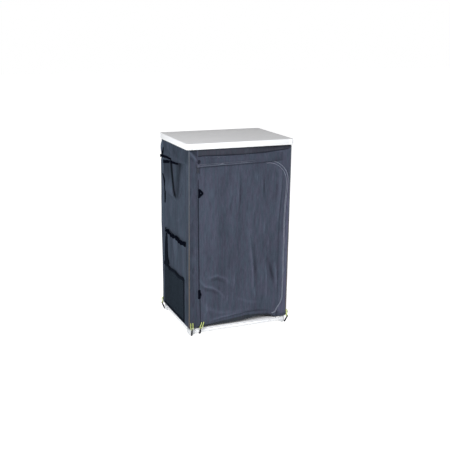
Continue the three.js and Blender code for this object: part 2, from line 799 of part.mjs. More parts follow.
// The upper half of the zip along the door's top, and the storm flap above it
const zip_y = -cover_y - fit_gap;
const zip_left = door_left - zip_left_overlap;
const zip_right = door_right - door_round;
const zip_low = door_top + fit_gap;
const zip_tape = slab(zip_left, zip_right, zip_y - zip_thickness, zip_y, zip_low, zip_low + zip_height);
place(cover, 'zip_top', zip_tape, 'dark_trim');

function stormFlap() {
  const right = cover_x - flap_margin_right;
  const low = zip_low + zip_height + fit_gap;
  const high = low + flap_height;
  const corners = [[zip_left, low], [right, low], [right, high], [zip_left, high]];
  const outline = roundedOutline(corners.map(([x, z]) => [x, z, flap_round]));
  return upright(outline, zip_y - flap_cloth, zip_y);
}

place(cover, 'storm_flap', stormFlap(), 'cover_cloth');

// The slider, waisted towards its closing end, with a bail bar under it that the pull hangs on
const slider_x = zip_left + slider_length / 2;
const slider_back = zip_y - zip_thickness - fit_gap;
const slider_front = slider_back - slider_thickness;
const bail_z = -slider_height / 2 - 2 * bail_radius;
const bail_y = slider_front + bail_radius;

function zipSlider() {
  const half = slider_length / 2;
  const high = slider_height / 2;
  const low = high * slider_waist_share;
  const round = 2 * bail_radius;
  const outline = roundedOutline([[-half, -high, round], [half, -low], [half, low], [-half, high, round]]);
  const body = upright(outline, slider_front, slider_back, corner_steps.small);
  const near = pull_eye_width / 2 + fit_gap;
  const far = near + bail_radius;
  const bail = bar([-far, bail_y, bail_z], [far, bail_y, bail_z], bail_radius, cord_sides.thick);
  const arm = (side) =>
    slab(side * near, side * far, bail_y - bail_radius, bail_y + bail_radius, bail_z, -low);
  return join(body, bail, arm(left_side), arm(right_side));
}

place(cover, 'zip_slider', zipSlider(), 'dark_trim', [slider_x, 0, door_top]);

// The pull: an eye round the bail bar and a flat tab that widens below it
function zipPull() {
  const eye_radius = bail_radius + fit_gap + pull_thickness;
  const half_eye = pull_eye_width / 2;
  const half = pull_width / 2;
  const shoulder = 2 * eye_radius;
  const tab = upright(
    roundedOutline([
      [-half, -pull_length, half / 2],
      [half, -pull_length, half / 2],
      [half, -shoulder - half],
      [half_eye, -shoulder],
      [half_eye, 0],
      [-half_eye, 0],
      [-half_eye, -shoulder],
      [-half, -shoulder - half],
    ]),
    -pull_thickness / 2,
    pull_thickness / 2,
    corner_steps.small,
  );
  const eye = bar([-half_eye, 0, 0], [half_eye, 0, 0], eye_radius, round_sides);
  const past = half_eye + overrun;
  const hole = bar([-past, 0, 0], [past, 0, 0], bail_radius + fit_gap, round_sides);
  return join(tab, eye).subtract(hole);
}

place(cover, 'zip_pull', zipPull(), 'dark_trim', [slider_x, bail_y, door_top + bail_z]);

// A side pocket: cloth that is sewn to the left wall down its sides and along its lower end, and stands off
// the wall towards its open mouth, where its bound edge is thicker
function sidePocket(name, grid, outline, fullness) {
  const { bottom, top: mouth } = pocket_shares[name];
  return clothSheet(grid, (u, v, face) => {
    const z = between(hem_height, cover_top, between(bottom, mouth, v));
    const stand_off = pocket_mouths[name] * v * Math.sqrt(Math.sin(Math.PI * u)) * fullness(u, v);
    const back = cover_x + fit_gap + stand_off;
    const bound = z > between(hem_height, cover_top, mouth) - binding_height;
    const front = back + pocket_cloth + (bound ? binding_depth : 0);
    return [-(face === 0 ? front : back), cover_y * outline(u, v), z];
  });
}

// The upper pocket is gathered towards its lower end, and its pleats stand deeper towards its mouth
function gatheredPocket(name) {
  const { front, rear, gathered_front, gathered_rear } = pocket_shares[name];
  const outline = (u, v) => {
    const spread = smooth(0, gather_share, v);
    return between(between(gathered_rear, rear, spread), -between(gathered_front, front, spread), u);
  };
  const fullness = (u, v) => {
    const pleats = Math.sin(Math.PI * between(pleat_counts.gathered, pleat_counts.mouth, v) * u) ** 2;
    return 1 - pleat_depth_share * (1 - pleats);
  };
  return sidePocket(name, 'pleated', outline, fullness);
}

function flatPocket(name) {
  const { front, rear } = pocket_shares[name];
  return sidePocket(name, 'pocket', (u) => between(rear, -front, u), () => 1);
}

place(cover, 'pocket_upper', gatheredPocket('upper'), 'side_cloth');
place(cover, 'pocket_middle', flatPocket('middle'), 'side_cloth');
place(cover, 'pocket_mesh', flatPocket('mesh'), 'mesh');

// A hook lies in the plane of Y and Z, with -Y outwards and its origin on what it catches, at ground level.
// Its tip goes round a rail of catch_radius whose axis is at catch_z, or under a block's lower edge there.
const ring_reach = hook_ring_radius + hook_ring_wire;
const ring_z = hem_height - fit_gap - ring_reach;
const ringY = (catch_radius) => -fit_gap - ring_reach - (catch_radius > 0 ? block_wall : 0);

function coverHook(catch_radius, catch_z) {
  const ring_y = ringY(catch_radius);
  const reach = catch_radius + fit_gap + hook_radius;
  const path = new THREE.CurvePath();
  const point = (y, z) => new THREE.Vector3(0, y, z);
  const ring_low = point(ring_y, ring_z - hook_ring_radius);
  const shank_low = point(catch_radius - reach, catch_z);
  path.add(new THREE.LineCurve3(ring_low, shank_low));
  const turn = (share) => point(
    catch_radius - reach * Math.cos(share * quarter_turn),
    catch_z - reach * Math.sin(share * quarter_turn),
  );
  const arc = new THREE.CatmullRomCurve3([0, 0.25, 0.5, 0.75, 1].map(turn));
  path.add(arc);
  const low = turn(1);
  const tip_y = low.y + hook_tip + hook_tip_share * catch_radius;
  path.add(new THREE.LineCurve3(low, point(tip_y, low.z)));
  const ring = new THREE.TorusGeometry(hook_ring_radius, hook_ring_wire, ring_sides, ring_steps);
  ring.rotateY(quarter_turn).translate(0, ring_y, ring_z);
  return join(wire(path, hook_radius, cord_sides.thin, cord_steps.hook), solid(ring));
}

// An elastic loop hangs from the cover's hem, through the hook's ring. out is how far its upper part stands
// out, and slant is how far that part is off to the right.
function elasticLoop(ring_y, out, slant) {
  const { middle, low } = elastic_height_shares;
  const rows = [
    [elastic_half_width, -out, 1],
    [elastic_half_width, -out, middle],
    [elastic_half_width, between(-out, ring_y, elastic_draw_in_share), low],
    [elastic_bend, ring_y, 0],
  ];
  const point = (side) => ([x, y, share]) =>
    new THREE.Vector3(side * x + slant * share, y, ring_z + elastic_height * share);
  const points = [...rows.map(point(left_side)), ...rows.reverse().map(point(right_side))];
  const curve = new THREE.CatmullRomCurve3(points, false, 'centripetal');
  return wire(curve, elastic_radius, cord_sides.thin, cord_steps.elastic);
}

const block_diagonal_x = block_x - block_round * (1 - diagonal_share);
const block_diagonal_y = block_y - block_round * (1 - diagonal_share);
const face_stand_off = cover_y - block_y + fit_gap + elastic_radius;
const rail_stand_off = face_stand_off + block_wall;
const corner_stand_off = (cover_x - block_diagonal_x) / diagonal_share + fit_gap;
const corner_hook_x = block_x - block_round;
const door_hook_x = door_left + cap_length / 2;
const hooks = [
  ['front_left', -corner_hook_x, -block_y, 0, face_stand_off, 0, 0],
  ['front_right', block_diagonal_x, -block_diagonal_y, eighth_turn, corner_stand_off, 0, 0],
  ['rear_left', -block_diagonal_x, block_diagonal_y, -3 * eighth_turn, corner_stand_off, 0, 0],
  ['rear_right', block_diagonal_x, block_diagonal_y, 3 * eighth_turn, corner_stand_off, 0, 0],
  ['front_door', door_hook_x, -rail_y - rail_radius, 0, rail_stand_off, rail_radius, 2 * elastic_half_width],
];
const rig = new THREE.Group();
for (const [name, x, y, turn, out, catch_radius, slant] of hooks) {
  const catch_z = catch_radius > 0 ? base_rail_z : foot_height;
  place(rig, `hook_${name}`, coverHook(catch_radius, catch_z), 'dark_trim', [x, y, 0], turn);
  place(rig, `elastic_${name}`, elasticLoop(ringY(catch_radius), out, slant), 'elastic', [x, y, 0], turn);
}

unit.add(base, legs, shelves, top, cover, rig);

export default unit;
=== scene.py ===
import json
import math

import bpy
import numpy as np
from mathutils import Matrix, Vector

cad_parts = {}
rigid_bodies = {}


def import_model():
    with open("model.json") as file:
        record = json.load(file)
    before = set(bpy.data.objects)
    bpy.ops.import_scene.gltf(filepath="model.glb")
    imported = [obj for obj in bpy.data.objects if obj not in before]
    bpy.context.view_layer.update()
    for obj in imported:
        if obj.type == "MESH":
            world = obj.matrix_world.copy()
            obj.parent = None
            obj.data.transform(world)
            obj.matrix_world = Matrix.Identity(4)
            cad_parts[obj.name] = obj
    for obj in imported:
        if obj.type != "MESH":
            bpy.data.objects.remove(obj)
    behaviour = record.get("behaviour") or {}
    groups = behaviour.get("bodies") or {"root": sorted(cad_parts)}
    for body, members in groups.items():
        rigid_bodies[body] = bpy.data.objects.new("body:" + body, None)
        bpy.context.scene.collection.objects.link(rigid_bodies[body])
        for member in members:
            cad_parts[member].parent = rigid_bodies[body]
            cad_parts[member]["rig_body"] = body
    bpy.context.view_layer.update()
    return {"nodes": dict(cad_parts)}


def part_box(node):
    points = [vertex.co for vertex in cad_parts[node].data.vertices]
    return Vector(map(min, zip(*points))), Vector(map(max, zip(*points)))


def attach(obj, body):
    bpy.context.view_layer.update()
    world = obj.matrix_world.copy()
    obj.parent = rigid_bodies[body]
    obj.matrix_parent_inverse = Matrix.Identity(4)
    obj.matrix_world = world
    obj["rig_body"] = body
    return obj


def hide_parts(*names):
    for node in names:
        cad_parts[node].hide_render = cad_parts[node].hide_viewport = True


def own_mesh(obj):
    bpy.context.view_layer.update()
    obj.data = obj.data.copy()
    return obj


bl_info = {
    "name": "Folding camping cupboard",
    "version": (1, 0, 0),
    "blender": (4, 5, 0),
    "location": "3D View > Sidebar > Cupboard",
    "description": "Cloth, trims, tubes and table top of a folding camping cupboard",
    "category": "Object",
}

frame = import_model()

MM = 0.001

# Places that the frame gives
left_wall_low, left_wall_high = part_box("cover_left")
door_low, door_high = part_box("door")
zip_low, zip_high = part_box("zip_top")
wall_x = -left_wall_low.x
wall_y = -zip_high.y - 0.3 * MM
hem_z = left_wall_low.z
top_z = left_wall_high.z
seam_gap = 0.3 * MM
door_left = door_low.x - seam_gap
door_right = door_high.x + seam_gap
door_top = zip_low.z - seam_gap
door_bottom = hem_z + 22 * MM
door_round = door_right - zip_high.x
front_half = wall_x - 1 * MM


def srgb(red, green, blue):
    """A colour written from 0 to 255, as linear values."""

    def linear(value):
        share = value / 255
        return share / 12.92 if share <= 0.04045 else ((share + 0.055) / 1.055) ** 2.4

    return (linear(red), linear(green), linear(blue))


def number_property(name, description, default, **settings):
    return bpy.props.FloatProperty(name=name, description=description, default=default, **settings)


def length_property(name, description, default):
    return number_property(name, description, default, min=0, unit="LENGTH", precision=5)


def colour_property(name, description, default):
    return bpy.props.FloatVectorProperty(
        name=name, description=description, default=default, size=3, min=0, max=1, subtype="COLOR"
    )


class CupboardSizes(bpy.types.PropertyGroup):
    """Sizes of the cupboard's cloth and trims"""

    cloth: length_property("Cloth", "Thickness of the cover's cloth", 0.8 * MM)
    fold_depth: length_property("Door folds", "Depth of the folds in the door", 4.2 * MM)
    wrinkle_depth: length_property("Wrinkles", "Depth of the fine wrinkles", 1.2 * MM)
    weave_pitch: length_property("Weave", "Distance between two threads", 0.7 * MM)
    streak_width: length_property("Streak width", "Width of the light streaks in the yarn", 8 * MM)
    streak_length: length_property("Streak length", "Length of the light streaks", 44 * MM)
    piping: length_property("Piping", "Radius of the rolled edge", 3 * MM)
    flap_stand_off: length_property("Flap", "How far the storm flap stands out", 7.3 * MM)
    mouth_stand_off: length_property("Pocket mouth", "How far the upper pocket gapes", 24 * MM)
    binding: length_property("Binding", "Height of a pocket's bound edge", 11 * MM)
    stitch_pitch: length_property("Stitch pitch", "Distance between two stitches", 4.5 * MM)
    stitch_length: length_property("Stitch length", "Length of one stitch", 3.2 * MM)
    stitch_radius: length_property("Stitch radius", "Radius of the sewing thread", 0.3 * MM)
    tooth_pitch: length_property("Zip pitch", "Distance between two turns of the zip", 1.5 * MM)


class CupboardColours(bpy.types.PropertyGroup):
    """Colours of the cupboard's materials"""

    front_cloth: colour_property("Front cloth", "The cover's front and back", srgb(67, 72, 85))
    side_cloth: colour_property("Side cloth", "The cover's sides", srgb(67, 75, 87))
    # Darker, browner cloth under the table top: partly painted shade of the table's overhang.
    header_cloth: colour_property("Header", "The band under the table top", srgb(60, 62, 71))
    # Paler cloth beside the zip: painted light.
    edge_cloth: colour_property("Edge strip", "The strip beside the door's zip", srgb(80, 83, 100))
    # Dark cloth: painted shade along the door's hinge and inside the flap's rolled end, and the header's
    # seam tape, partly painted shade.
    seam: colour_property("Seam tape", "The tape in the hinge and the header's seam", srgb(38, 41, 50))
    # Darker cloth under the door: painted shade under the door's hem.
    skirt: colour_property("Skirt", "The strip under the door", srgb(56, 60, 66))
    # Dark cloth for the net pocket's bindings, and for the middle pocket's gusset, where it is partly
    # painted shade.
    gusset: colour_property("Gusset", "The pockets' dark gusset and edges", srgb(22, 27, 35))
    net: colour_property("Net", "The mesh pocket", srgb(43, 51, 60))
    trim: colour_property("Trim", "Bindings, straps and hooks", srgb(10, 13, 23))
    piping: colour_property("Piping", "The rolled corner edges", srgb(90, 94, 102))
    piping_low: colour_property("Piping, low", "The rolled edges lower down", srgb(102, 95, 90))
    # Paler cloth on the flap's rolled edges and top fold: painted highlight.
    zip_cord: colour_property("Zip edge", "The raised edge round the door", srgb(114, 119, 132))
    flap_rim: colour_property("Flap rim", "The storm flap's rolled edge", srgb(94, 98, 110))
    slider: colour_property("Zip slider", "The zip's slider and pull", srgb(54, 57, 66))
    thread: colour_property("Thread", "The sewing thread", srgb(54, 58, 68))
    panel: colour_property("Table panel", "The laminate of the table top", srgb(202, 202, 204))
    edge: colour_property("Table edge", "The table's edge profiles", srgb(233, 235, 238))
    cap: colour_property("Corner cap", "The caps on the table's corners", srgb(234, 236, 239))
    block: colour_property("Corner block", "The plastic corner blocks", srgb(212, 215, 218))
    tube: colour_property("Tube", "The frame's tubes", srgb(228, 230, 233))
    board: colour_property("Board", "The shelf boards", srgb(232, 233, 236))
    elastic: colour_property("Elastic", "The elastic loops", srgb(213, 228, 140))


class StageSettings(bpy.types.PropertyGroup):
    """Camera, lamps and floor"""

    camera_place: bpy.props.FloatVectorProperty(
        name="Camera place",
        description="Where the camera stands",
        default=(-1.5564, -3.7222, 1.6174),
        subtype="TRANSLATION",
        unit="LENGTH",
    )
    camera_yaw: number_property("Yaw", "Turn of the camera to the left", -0.3970, subtype="ANGLE")
    camera_pitch: number_property("Pitch", "Turn of the camera downwards", 0.2626, subtype="ANGLE")
    camera_roll: number_property("Roll", "Turn of the camera about its view", 0.0115, subtype="ANGLE")
    focal_share: number_property("Focal share", "Focal length as a share of the sensor's width", 1.6795)
    floor: colour_property("Floor", "The plain pale floor", (0.6, 0.6, 0.6))
    key_power: number_property("Key lamp", "Power of the lamp at the front left", 215, unit="POWER")
    fill_power: number_property("Fill lamp", "Power of the lamp at the front right", 95, unit="POWER")
    sky: number_property("Sky", "Strength of the light from all round", 0.3)


def sizes():
    return bpy.context.scene.cupboard_sizes


def colours():
    return bpy.context.scene.cupboard_colours


# Materials


class Nodes:
    """A tree of shader nodes in the making."""

    def __init__(self, tree):
        self.tree = tree

    def node(self, kind, **settings):
        made = self.tree.nodes.new(kind)
        for key, value in settings.items():
            setattr(made, key, value)
        return made

    def put(self, value, socket):
        """A number, a colour or another node's output goes into a socket."""
        if isinstance(value, (int, float)):
            socket.default_value = value
        elif isinstance(value, (tuple, Vector)):
            socket.default_value = (*value, 1)
        else:
            self.tree.links.new(value, socket)

    def math(self, operation, first, second=0.0):
        made = self.node("ShaderNodeMath", operation=operation)
        for socket, value in zip(made.inputs, (first, second)):
            self.put(value, socket)
        return made.outputs[0]

    def total(self, *parts):
        """The sum of outputs, each times its share."""
        shared = [self.math("MULTIPLY", value, share) for value, share in parts]
        added = shared[0]
        for one in shared[1:]:
            added = self.math("ADD", added, one)
        return added

    def spread(self, value, low=0, high=1, to_low=0, to_high=1, clamp=True):
        """A value stretched so that low becomes to_low and high becomes to_high."""
        made = self.node("ShaderNodeMapRange", clamp=clamp)
        ends = {"From Min": low, "From Max": high, "To Min": to_low, "To Max": to_high}
        for name, number in ends.items():
            made.inputs[name].default_value = number
        self.put(value, made.inputs["Value"])
        return made.outputs["Result"]

    def seen_directly(self):
        """1 for what the camera sees, also in a gloss or through clear matter."""
        path = self.node("ShaderNodeLightPath")
        seen = self.math("MAXIMUM", path.outputs["Is Camera Ray"], path.outputs["Is Glossy Ray"])
        return self.math("MAXIMUM", seen, path.outputs["Is Transmission Ray"])


class Finish(Nodes):
    """A material in the making, with its shader's own values."""

    def __init__(self, name, colour, roughness, metallic=0, gloss=0.5):
        self.material = bpy.data.materials.new(name)
        self.material.use_nodes = True
        super().__init__(self.material.node_tree)
        self.shader = self.tree.nodes["Principled BSDF"]
        self.shader.inputs["Base Color"].default_value = (*colour, 1)
        self.shader.inputs["Roughness"].default_value = roughness
        self.shader.inputs["Metallic"].default_value = metallic
        self.shader.inputs["Specular IOR Level"].default_value = gloss
        self.colour = Vector(colour)
        self.roughness = roughness

    def coordinates(self, kind, scale, turn):
        source = self.node("ShaderNodeTexCoord")
        mapping = self.node("ShaderNodeMapping")
        mapping.inputs["Scale"].default_value = scale
        mapping.inputs["Rotation"].default_value = turn
        self.put(source.outputs[kind], mapping.inputs["Vector"])
        return mapping.outputs["Vector"]

    def noise(self, kind, scale, detail=2):
        texture = self.node("ShaderNodeTexNoise")
        texture.inputs["Scale"].default_value = 1
        texture.inputs["Detail"].default_value = detail
        self.put(self.coordinates(kind, scale, (0, 0, 0)), texture.inputs["Vector"])
        return texture.outputs["Fac"]

    def ripple(self, kind, axis, pitch, turn=0):
        """A sine along one axis of the coordinates, with the given pitch."""
        share = 2 * math.pi / pitch
        parts = self.node("ShaderNodeSeparateXYZ")
        self.put(self.coordinates(kind, (share, share, share), (0, 0, turn)), parts.inputs[0])
        return self.math("SINE", parts.outputs[axis])

    def crossed(self, pitch, turn=0):
        """Two sines of the same pitch that cross on the flat cut."""
        return self.ripple("UV", "X", pitch, turn), self.ripple("UV", "Y", pitch, turn)

    def mix(self, factor, first, second):
        made = self.node("ShaderNodeMix", data_type="RGBA")
        for index, value in ((0, factor), (6, first), (7, second)):
            self.put(value, made.inputs[index])
        return made.outputs[2]

    def tones(self, factor, dark, light):
        """The finish's colour from a darker to a lighter tone."""
        return self.mix(factor, self.colour * dark, self.colour * light)

    def paint(self, colour):
        self.put(colour, self.shader.inputs["Base Color"])

    def vary_roughness(self, factor, spread):
        low, high = max(self.roughness - spread, 0), min(self.roughness + spread, 1)
        self.put(self.spread(factor, to_low=low, to_high=high), self.shader.inputs["Roughness"])

    def bump(self, height, distance, strength=1, over=None):
        made = self.node("ShaderNodeBump")
        made.inputs["Distance"].default_value = distance
        made.inputs["Strength"].default_value = strength
        self.put(height, made.inputs["Height"])
        if over is not None:
            self.put(over, made.inputs["Normal"])
        self.put(made.outputs["Normal"], self.shader.inputs["Normal"])
        return made.outputs["Normal"]


made_finishes = {}
cross_turn = math.pi / 4


def finish_once(make):
    """A material is made the first time that it is asked for."""

    def give(*words):
        key = (make.__name__, *words)
        if key not in made_finishes:
            made_finishes[key] = make(*words).material
        return made_finishes[key]

    return give


@finish_once
def woven_cloth(name):
    """Heather cloth: streaks in the yarn that lean to violet or teal, flecks and a fine weave.

    Its fold attribute holds painted light and shade: ridges paler, valleys darker, and darker where shadow
    falls.
    """
    size = sizes()
    made = Finish(f"{name}_weave", getattr(colours(), name), 0.9, gloss=0)
    across, along = 1 / size.streak_width, 1 / size.streak_length
    streaks = made.noise("UV", (across, along, 1), 3)
    flecks = made.noise("UV", (across * 4, along * 4, 1), 2)
    cloudy = made.noise("UV", (7, 4, 1), 2)
    weave = made.math("MULTIPLY", *made.crossed(size.weave_pitch))
    tone = made.total((streaks, 0.6), (flecks, 0.22), (cloudy, 0.18), (weave, 0.02))
    heather = made.tones(made.spread(tone, 0.37, 0.63), 0.8, 1.24)
    colour = made.colour
    violet = Vector((colour.x * 1.1, colour.y * 0.96, colour.z * 1.04))
    teal = Vector((colour.x * 0.9, colour.y * 1.04, colour.z * 1.04))
    lean = made.noise("UV", (across * 0.6, along * 0.5, 1), 1)
    tint = made.mix(made.spread(lean, 0.42, 0.58), violet, teal)
    fold = made.node("ShaderNodeAttribute", attribute_name="fold")
    # Painted light and shade: the colour is scaled by the fold attribute, paler above 0 and darker below
    # it.
    wear_and_painted_shade = made.node("ShaderNodeVectorMath", operation="SCALE")
    made.put(made.mix(0.45, heather, tint), wear_and_painted_shade.inputs[0])
    made.put(made.spread(fold.outputs["Fac"], -1, 1, 0.7, 1.3, clamp=False), wear_and_painted_shade.inputs["Scale"])
    made.paint(wear_and_painted_shade.outputs[0])
    made.vary_roughness(flecks, 0.06)
    slubs = made.bump(streaks, 0.3 * MM, 0.6)
    made.bump(weave, 0.12 * MM, 0.8, slubs)
    return made


@finish_once
def pocket_net():
    """Net cloth: threads that cross at a slant, with darker holes between them."""
    made = Finish("pocket_net", colours().net, 0.9, gloss=0)
    pitch = 2.6 * MM
    one, other = [made.math("ABSOLUTE", ripple) for ripple in made.crossed(2 * pitch, cross_turn)]
    hole = made.spread(made.math("MULTIPLY", one, other), 0.25, 0.6)
    threads = made.spread(made.noise("UV", (500, 300, 1), 2), 0.35, 0.65)
    lit = made.tones(threads, 1.0, 1.45)
    made.paint(made.mix(hole, lit, made.colour * 0.55))
    made.bump(made.math("SUBTRACT", 1, hole), 0.5 * MM)
    return made


@finish_once
def webbing(name):
    """Webbing and binding tape: ribs across its width and a paler weave that is uneven with wear."""
    made = Finish(f"{name}_webbing", getattr(colours(), name), 0.9, gloss=0)
    ribs = made.ripple("UV", "Y", 1.3 * MM)
    cords = made.ripple("UV", "X", 1.1 * MM)
    woven = made.math("MULTIPLY", ribs, cords)
    wear = made.noise("UV", (220, 90, 1), 3)
    made.paint(made.tones(made.spread(wear, 0.35, 0.7), 0.8, 1.25))
    made.bump(woven, 0.2 * MM)
    return made


@finish_once
def braid(name):
    """Braided cord: strands that cross round it."""
    made = Finish(f"{name}_braid", getattr(colours(), name), 0.62, gloss=0.3)
    strands = made.math("MULTIPLY", *made.crossed(1.1 * MM, cross_turn))
    fibres = made.noise("UV", (1500, 400, 1), 2)
    tone = made.total((strands, 0.25), (fibres, 1))
    made.paint(made.tones(made.spread(tone, 0.3, 0.8), 0.72, 1.1))
    made.bump(strands, 0.18 * MM)
    return made


@finish_once
def corner_piping():
    """Rolled edge cloth, which is browner and shows more wear towards the ground."""
    made = Finish("corner_piping", colours().piping, 0.9, gloss=0)
    source = made.node("ShaderNodeTexCoord")
    parts = made.node("ShaderNodeSeparateXYZ")
    made.put(source.outputs["Object"], parts.inputs[0])
    low = made.spread(parts.outputs["Z"], 0.75, 0.3)
    fibres = made.spread(made.noise("UV", (700, 260, 1), 3), 0.35, 0.65)
    clean = made.tones(fibres, 0.85, 1.12)
    dusty = Vector(colours().piping_low)
    wear_and_painted_shade = made.mix(fibres, dusty * 0.8, dusty * 1.15)
    made.paint(made.mix(low, clean, wear_and_painted_shade))
    twist = made.ripple("UV", "Y", 0.9 * MM, 0.5)
    made.bump(twist, 0.12 * MM)
    return made


@finish_once
def laminate(name):
    """Laminate with a fine speckle, faint clouds and a satin skin."""
    made = Finish(f"{name}_laminate", getattr(colours(), name), 0.46)
    speckle = made.noise("Object", (900, 900, 900), 2)
    clouds = made.noise("Object", (9, 14, 9), 3)
    tone = made.total((speckle, 0.7), (clouds, 0.3))
    made.paint(made.tones(made.spread(tone, 0.35, 0.65), 0.94, 1.05))
    made.vary_roughness(made.noise("Object", (60, 25, 60), 3), 0.08)
    made.bump(speckle, 0.05 * MM, 0.6)
    return made


@finish_once
def satin_profile():
    """Powder coat on the table's edge profiles: a fine grain and faint drawn lines."""
    made = Finish("satin_profile", colours().edge, 0.38, metallic=0.05)
    grain = made.noise("Object", (1400, 1400, 1400), 2)
    drawn = made.noise("Object", (4, 4, 500), 2)
    made.paint(made.tones(made.spread(drawn, 0.3, 0.7), 0.975, 1.01))
    made.vary_roughness(drawn, 0.06)
    made.bump(grain, 0.03 * MM, 0.5)
    return made


@finish_once
def moulded_plastic(name):
    """Moulded plastic: a fine leathery grain and uneven gloss."""
    gloss = 0.12 if name in ("trim", "slider") else 0.5
    made = Finish(f"{name}_plastic", getattr(colours(), name), 0.5, gloss=gloss)
    grain = made.noise("Object", (1100, 1100, 1100), 3)
    flow = made.noise("Object", (30, 30, 60), 3)
    made.paint(made.tones(made.spread(flow, 0.3, 0.7), 0.94, 1.04))
    made.vary_roughness(flow, 0.1)
    made.bump(grain, 0.06 * MM, 0.7)
    return made


@finish_once
def drawn_tube(axis):
    """Drawn light metal: fine lines along the tube and a soft gloss."""
    made = Finish(f"drawn_tube_{axis.lower()}", colours().tube, 0.3, metallic=0.35)
    fine, slow = 900, 6
    scale = tuple(slow if letter == axis else fine for letter in "XYZ")
    lines = made.noise("Object", scale, 2)
    smudges = made.noise("Object", (25, 25, 25), 3)
    made.paint(made.tones(made.spread(lines, 0.3, 0.7), 0.95, 1.03))
    made.vary_roughness(smudges, 0.09)
    made.bump(lines, 0.03 * MM, 0.5)
    return made


# Cloth surfaces


def eased(share):
    return share * share * (3 - 2 * share)


def smooth(low, high, value):
    """0 below low and 1 above high, with a soft way between them."""
    return eased(np.clip((value - low) / (high - low), 0, 1))


def bell(value, width):
    """1 where the value is 0, dying away on both sides."""
    return np.exp(-((value / width) ** 2))


def stacked(*parts):
    """Coordinates put together as points. A single number holds for all of them."""
    return np.stack(np.broadcast_arrays(*parts), axis=-1)


def reach_along(spans):
    """How far along a line each of its points lies."""
    return np.concatenate([[0], np.cumsum(spans)])


def steps_of(points):
    """The lengths from point to point."""
    return np.linalg.norm(np.diff(points, axis=0), axis=1)


def soft_noise(x, y, cell_x, cell_y, seed):
    """Smooth noise from -1 to 1 over cells of the given size."""
    cells = 64
    table = np.random.default_rng(seed).uniform(-1, 1, (cells, cells))
    gx, gy = x / cell_x, y / cell_y
    ix, iy = np.floor(gx).astype(int), np.floor(gy).astype(int)
    fx, fy = eased(gx - ix), eased(gy - iy)

    def corner(dx, dy):
        return table[(ix + dx) % cells, (iy + dy) % cells]

    low = corner(0, 0) * (1 - fx) + corner(1, 0) * fx
    high = corner(0, 1) * (1 - fx) + corner(1, 1) * fx
    return low * (1 - fy) + high * fy


def crease(x, y, points, height, width):
    """A ridge, or a valley where height is below 0, along a line of points. It dies away at its ends."""
    path = np.array(points, float) * MM
    spans = steps_of(path)
    starts = reach_along(spans)
    nearest = np.full(x.shape, np.inf)
    place = np.zeros(x.shape)
    for index, span in enumerate(spans):
        along = (path[index + 1] - path[index]) / span
        from_x, from_y = x - path[index][0], y - path[index][1]
        share = np.clip(from_x * along[0] + from_y * along[1], 0, span)
        far = np.hypot(from_x - share * along[0], from_y - share * along[1])
        nearer = far < nearest
        nearest = np.where(nearer, far, nearest)
        place = np.where(nearer, (starts[index] + share) / starts[-1], place)
    least = 0.04
    fade = np.sin(np.pi * np.clip(place, least, 1 - least)) ** 0.5
    return height * MM * fade * bell(nearest, width * MM)


def creased(x, y, creases, folds=0):
    """Folds with a list of creases added."""
    for points, height, width in creases:
        folds = folds + crease(x, y, points, height, width)
    return folds


def crinkles(seed, count, left, right, low, high):
    """Short upright creases scattered over a field: the line, height and width of each."""
    random = np.random.default_rng(seed)
    made = []
    for _ in range(count):
        x, z = random.uniform(left, right), random.uniform(low, high)
        lean, half = random.uniform(-9, 9), random.uniform(14, 44)
        height = random.choice([-1, 1]) * random.uniform(0.6, 1.7)
        width = random.uniform(3.5, 6)
        made.append(([(x - lean, z + half), (x + 0.4 * lean, z), (x + lean, z - half)], height, width))
    return made


# Folds drawn as lines of points (x and z in millimetres), each with its height and width
door_creases = [
    ([(-226, 306), (-199, 272), (-154, 259), (-117, 233), (-86, 196)], 5.0, 7),
    ([(-222, 282), (-190, 248), (-150, 237), (-112, 210)], -3.2, 7),
    ([(-182, 314), (-125, 322), (-80, 300), (-46, 260)], 3.6, 7),
    ([(-172, 295), (-125, 301), (-88, 280)], -2.6, 7),
    ([(-228, 205), (-190, 150), (-120, 114), (-20, 100), (60, 106)], 3.0, 10),
    ([(-189, 184), (-183, 116)], 3.2, 7),
    ([(52, 548), (64, 440), (76, 340), (88, 172)], 3.8, 7),
    ([(81, 474), (92, 360), (104, 258)], -3.6, 8),
    ([(0, 866), (2, 760), (-2, 650)], -3.0, 7),
    ([(-13, 852), (-12, 700)], 2.2, 7),
    ([(135, 832), (134, 722)], -3.0, 6),
    ([(126, 828), (127, 738)], 2.4, 6),
    ([(94, 860), (95, 812)], 2.4, 6),
    ([(143, 604), (140, 528)], 2.8, 6),
    ([(168, 496), (169, 442)], 2.8, 6),
    ([(148, 382), (160, 300), (163, 156)], 3.2, 6),
    ([(180, 356), (190, 310), (206, 248)], -5.0, 9),
    ([(212, 350), (218, 290), (222, 218)], 4.6, 8),
    ([(-28, 318), (-30, 238)], 2.6, 5),
    ([(-38, 214), (-38, 156)], 2.6, 5),
    ([(-70, 202), (-72, 158)], 2.2, 5),
    ([(92, 228), (95, 168)], 2.8, 6),
    ([(-14, 184), (50, 152), (122, 138)], 2.6, 9),
    ([(-168, 82), (-100, 87), (-20, 90), (34, 86)], 4.6, 5),
    ([(12, 82), (90, 88), (176, 84)], -3.0, 6),
    ([(222, 845), (224, 700), (221, 590)], 3.4, 8),
    ([(206, 860), (206, 700)], -2.4, 7),
]
door_creases += crinkles(5, 70, -215, 215, 120, 890)
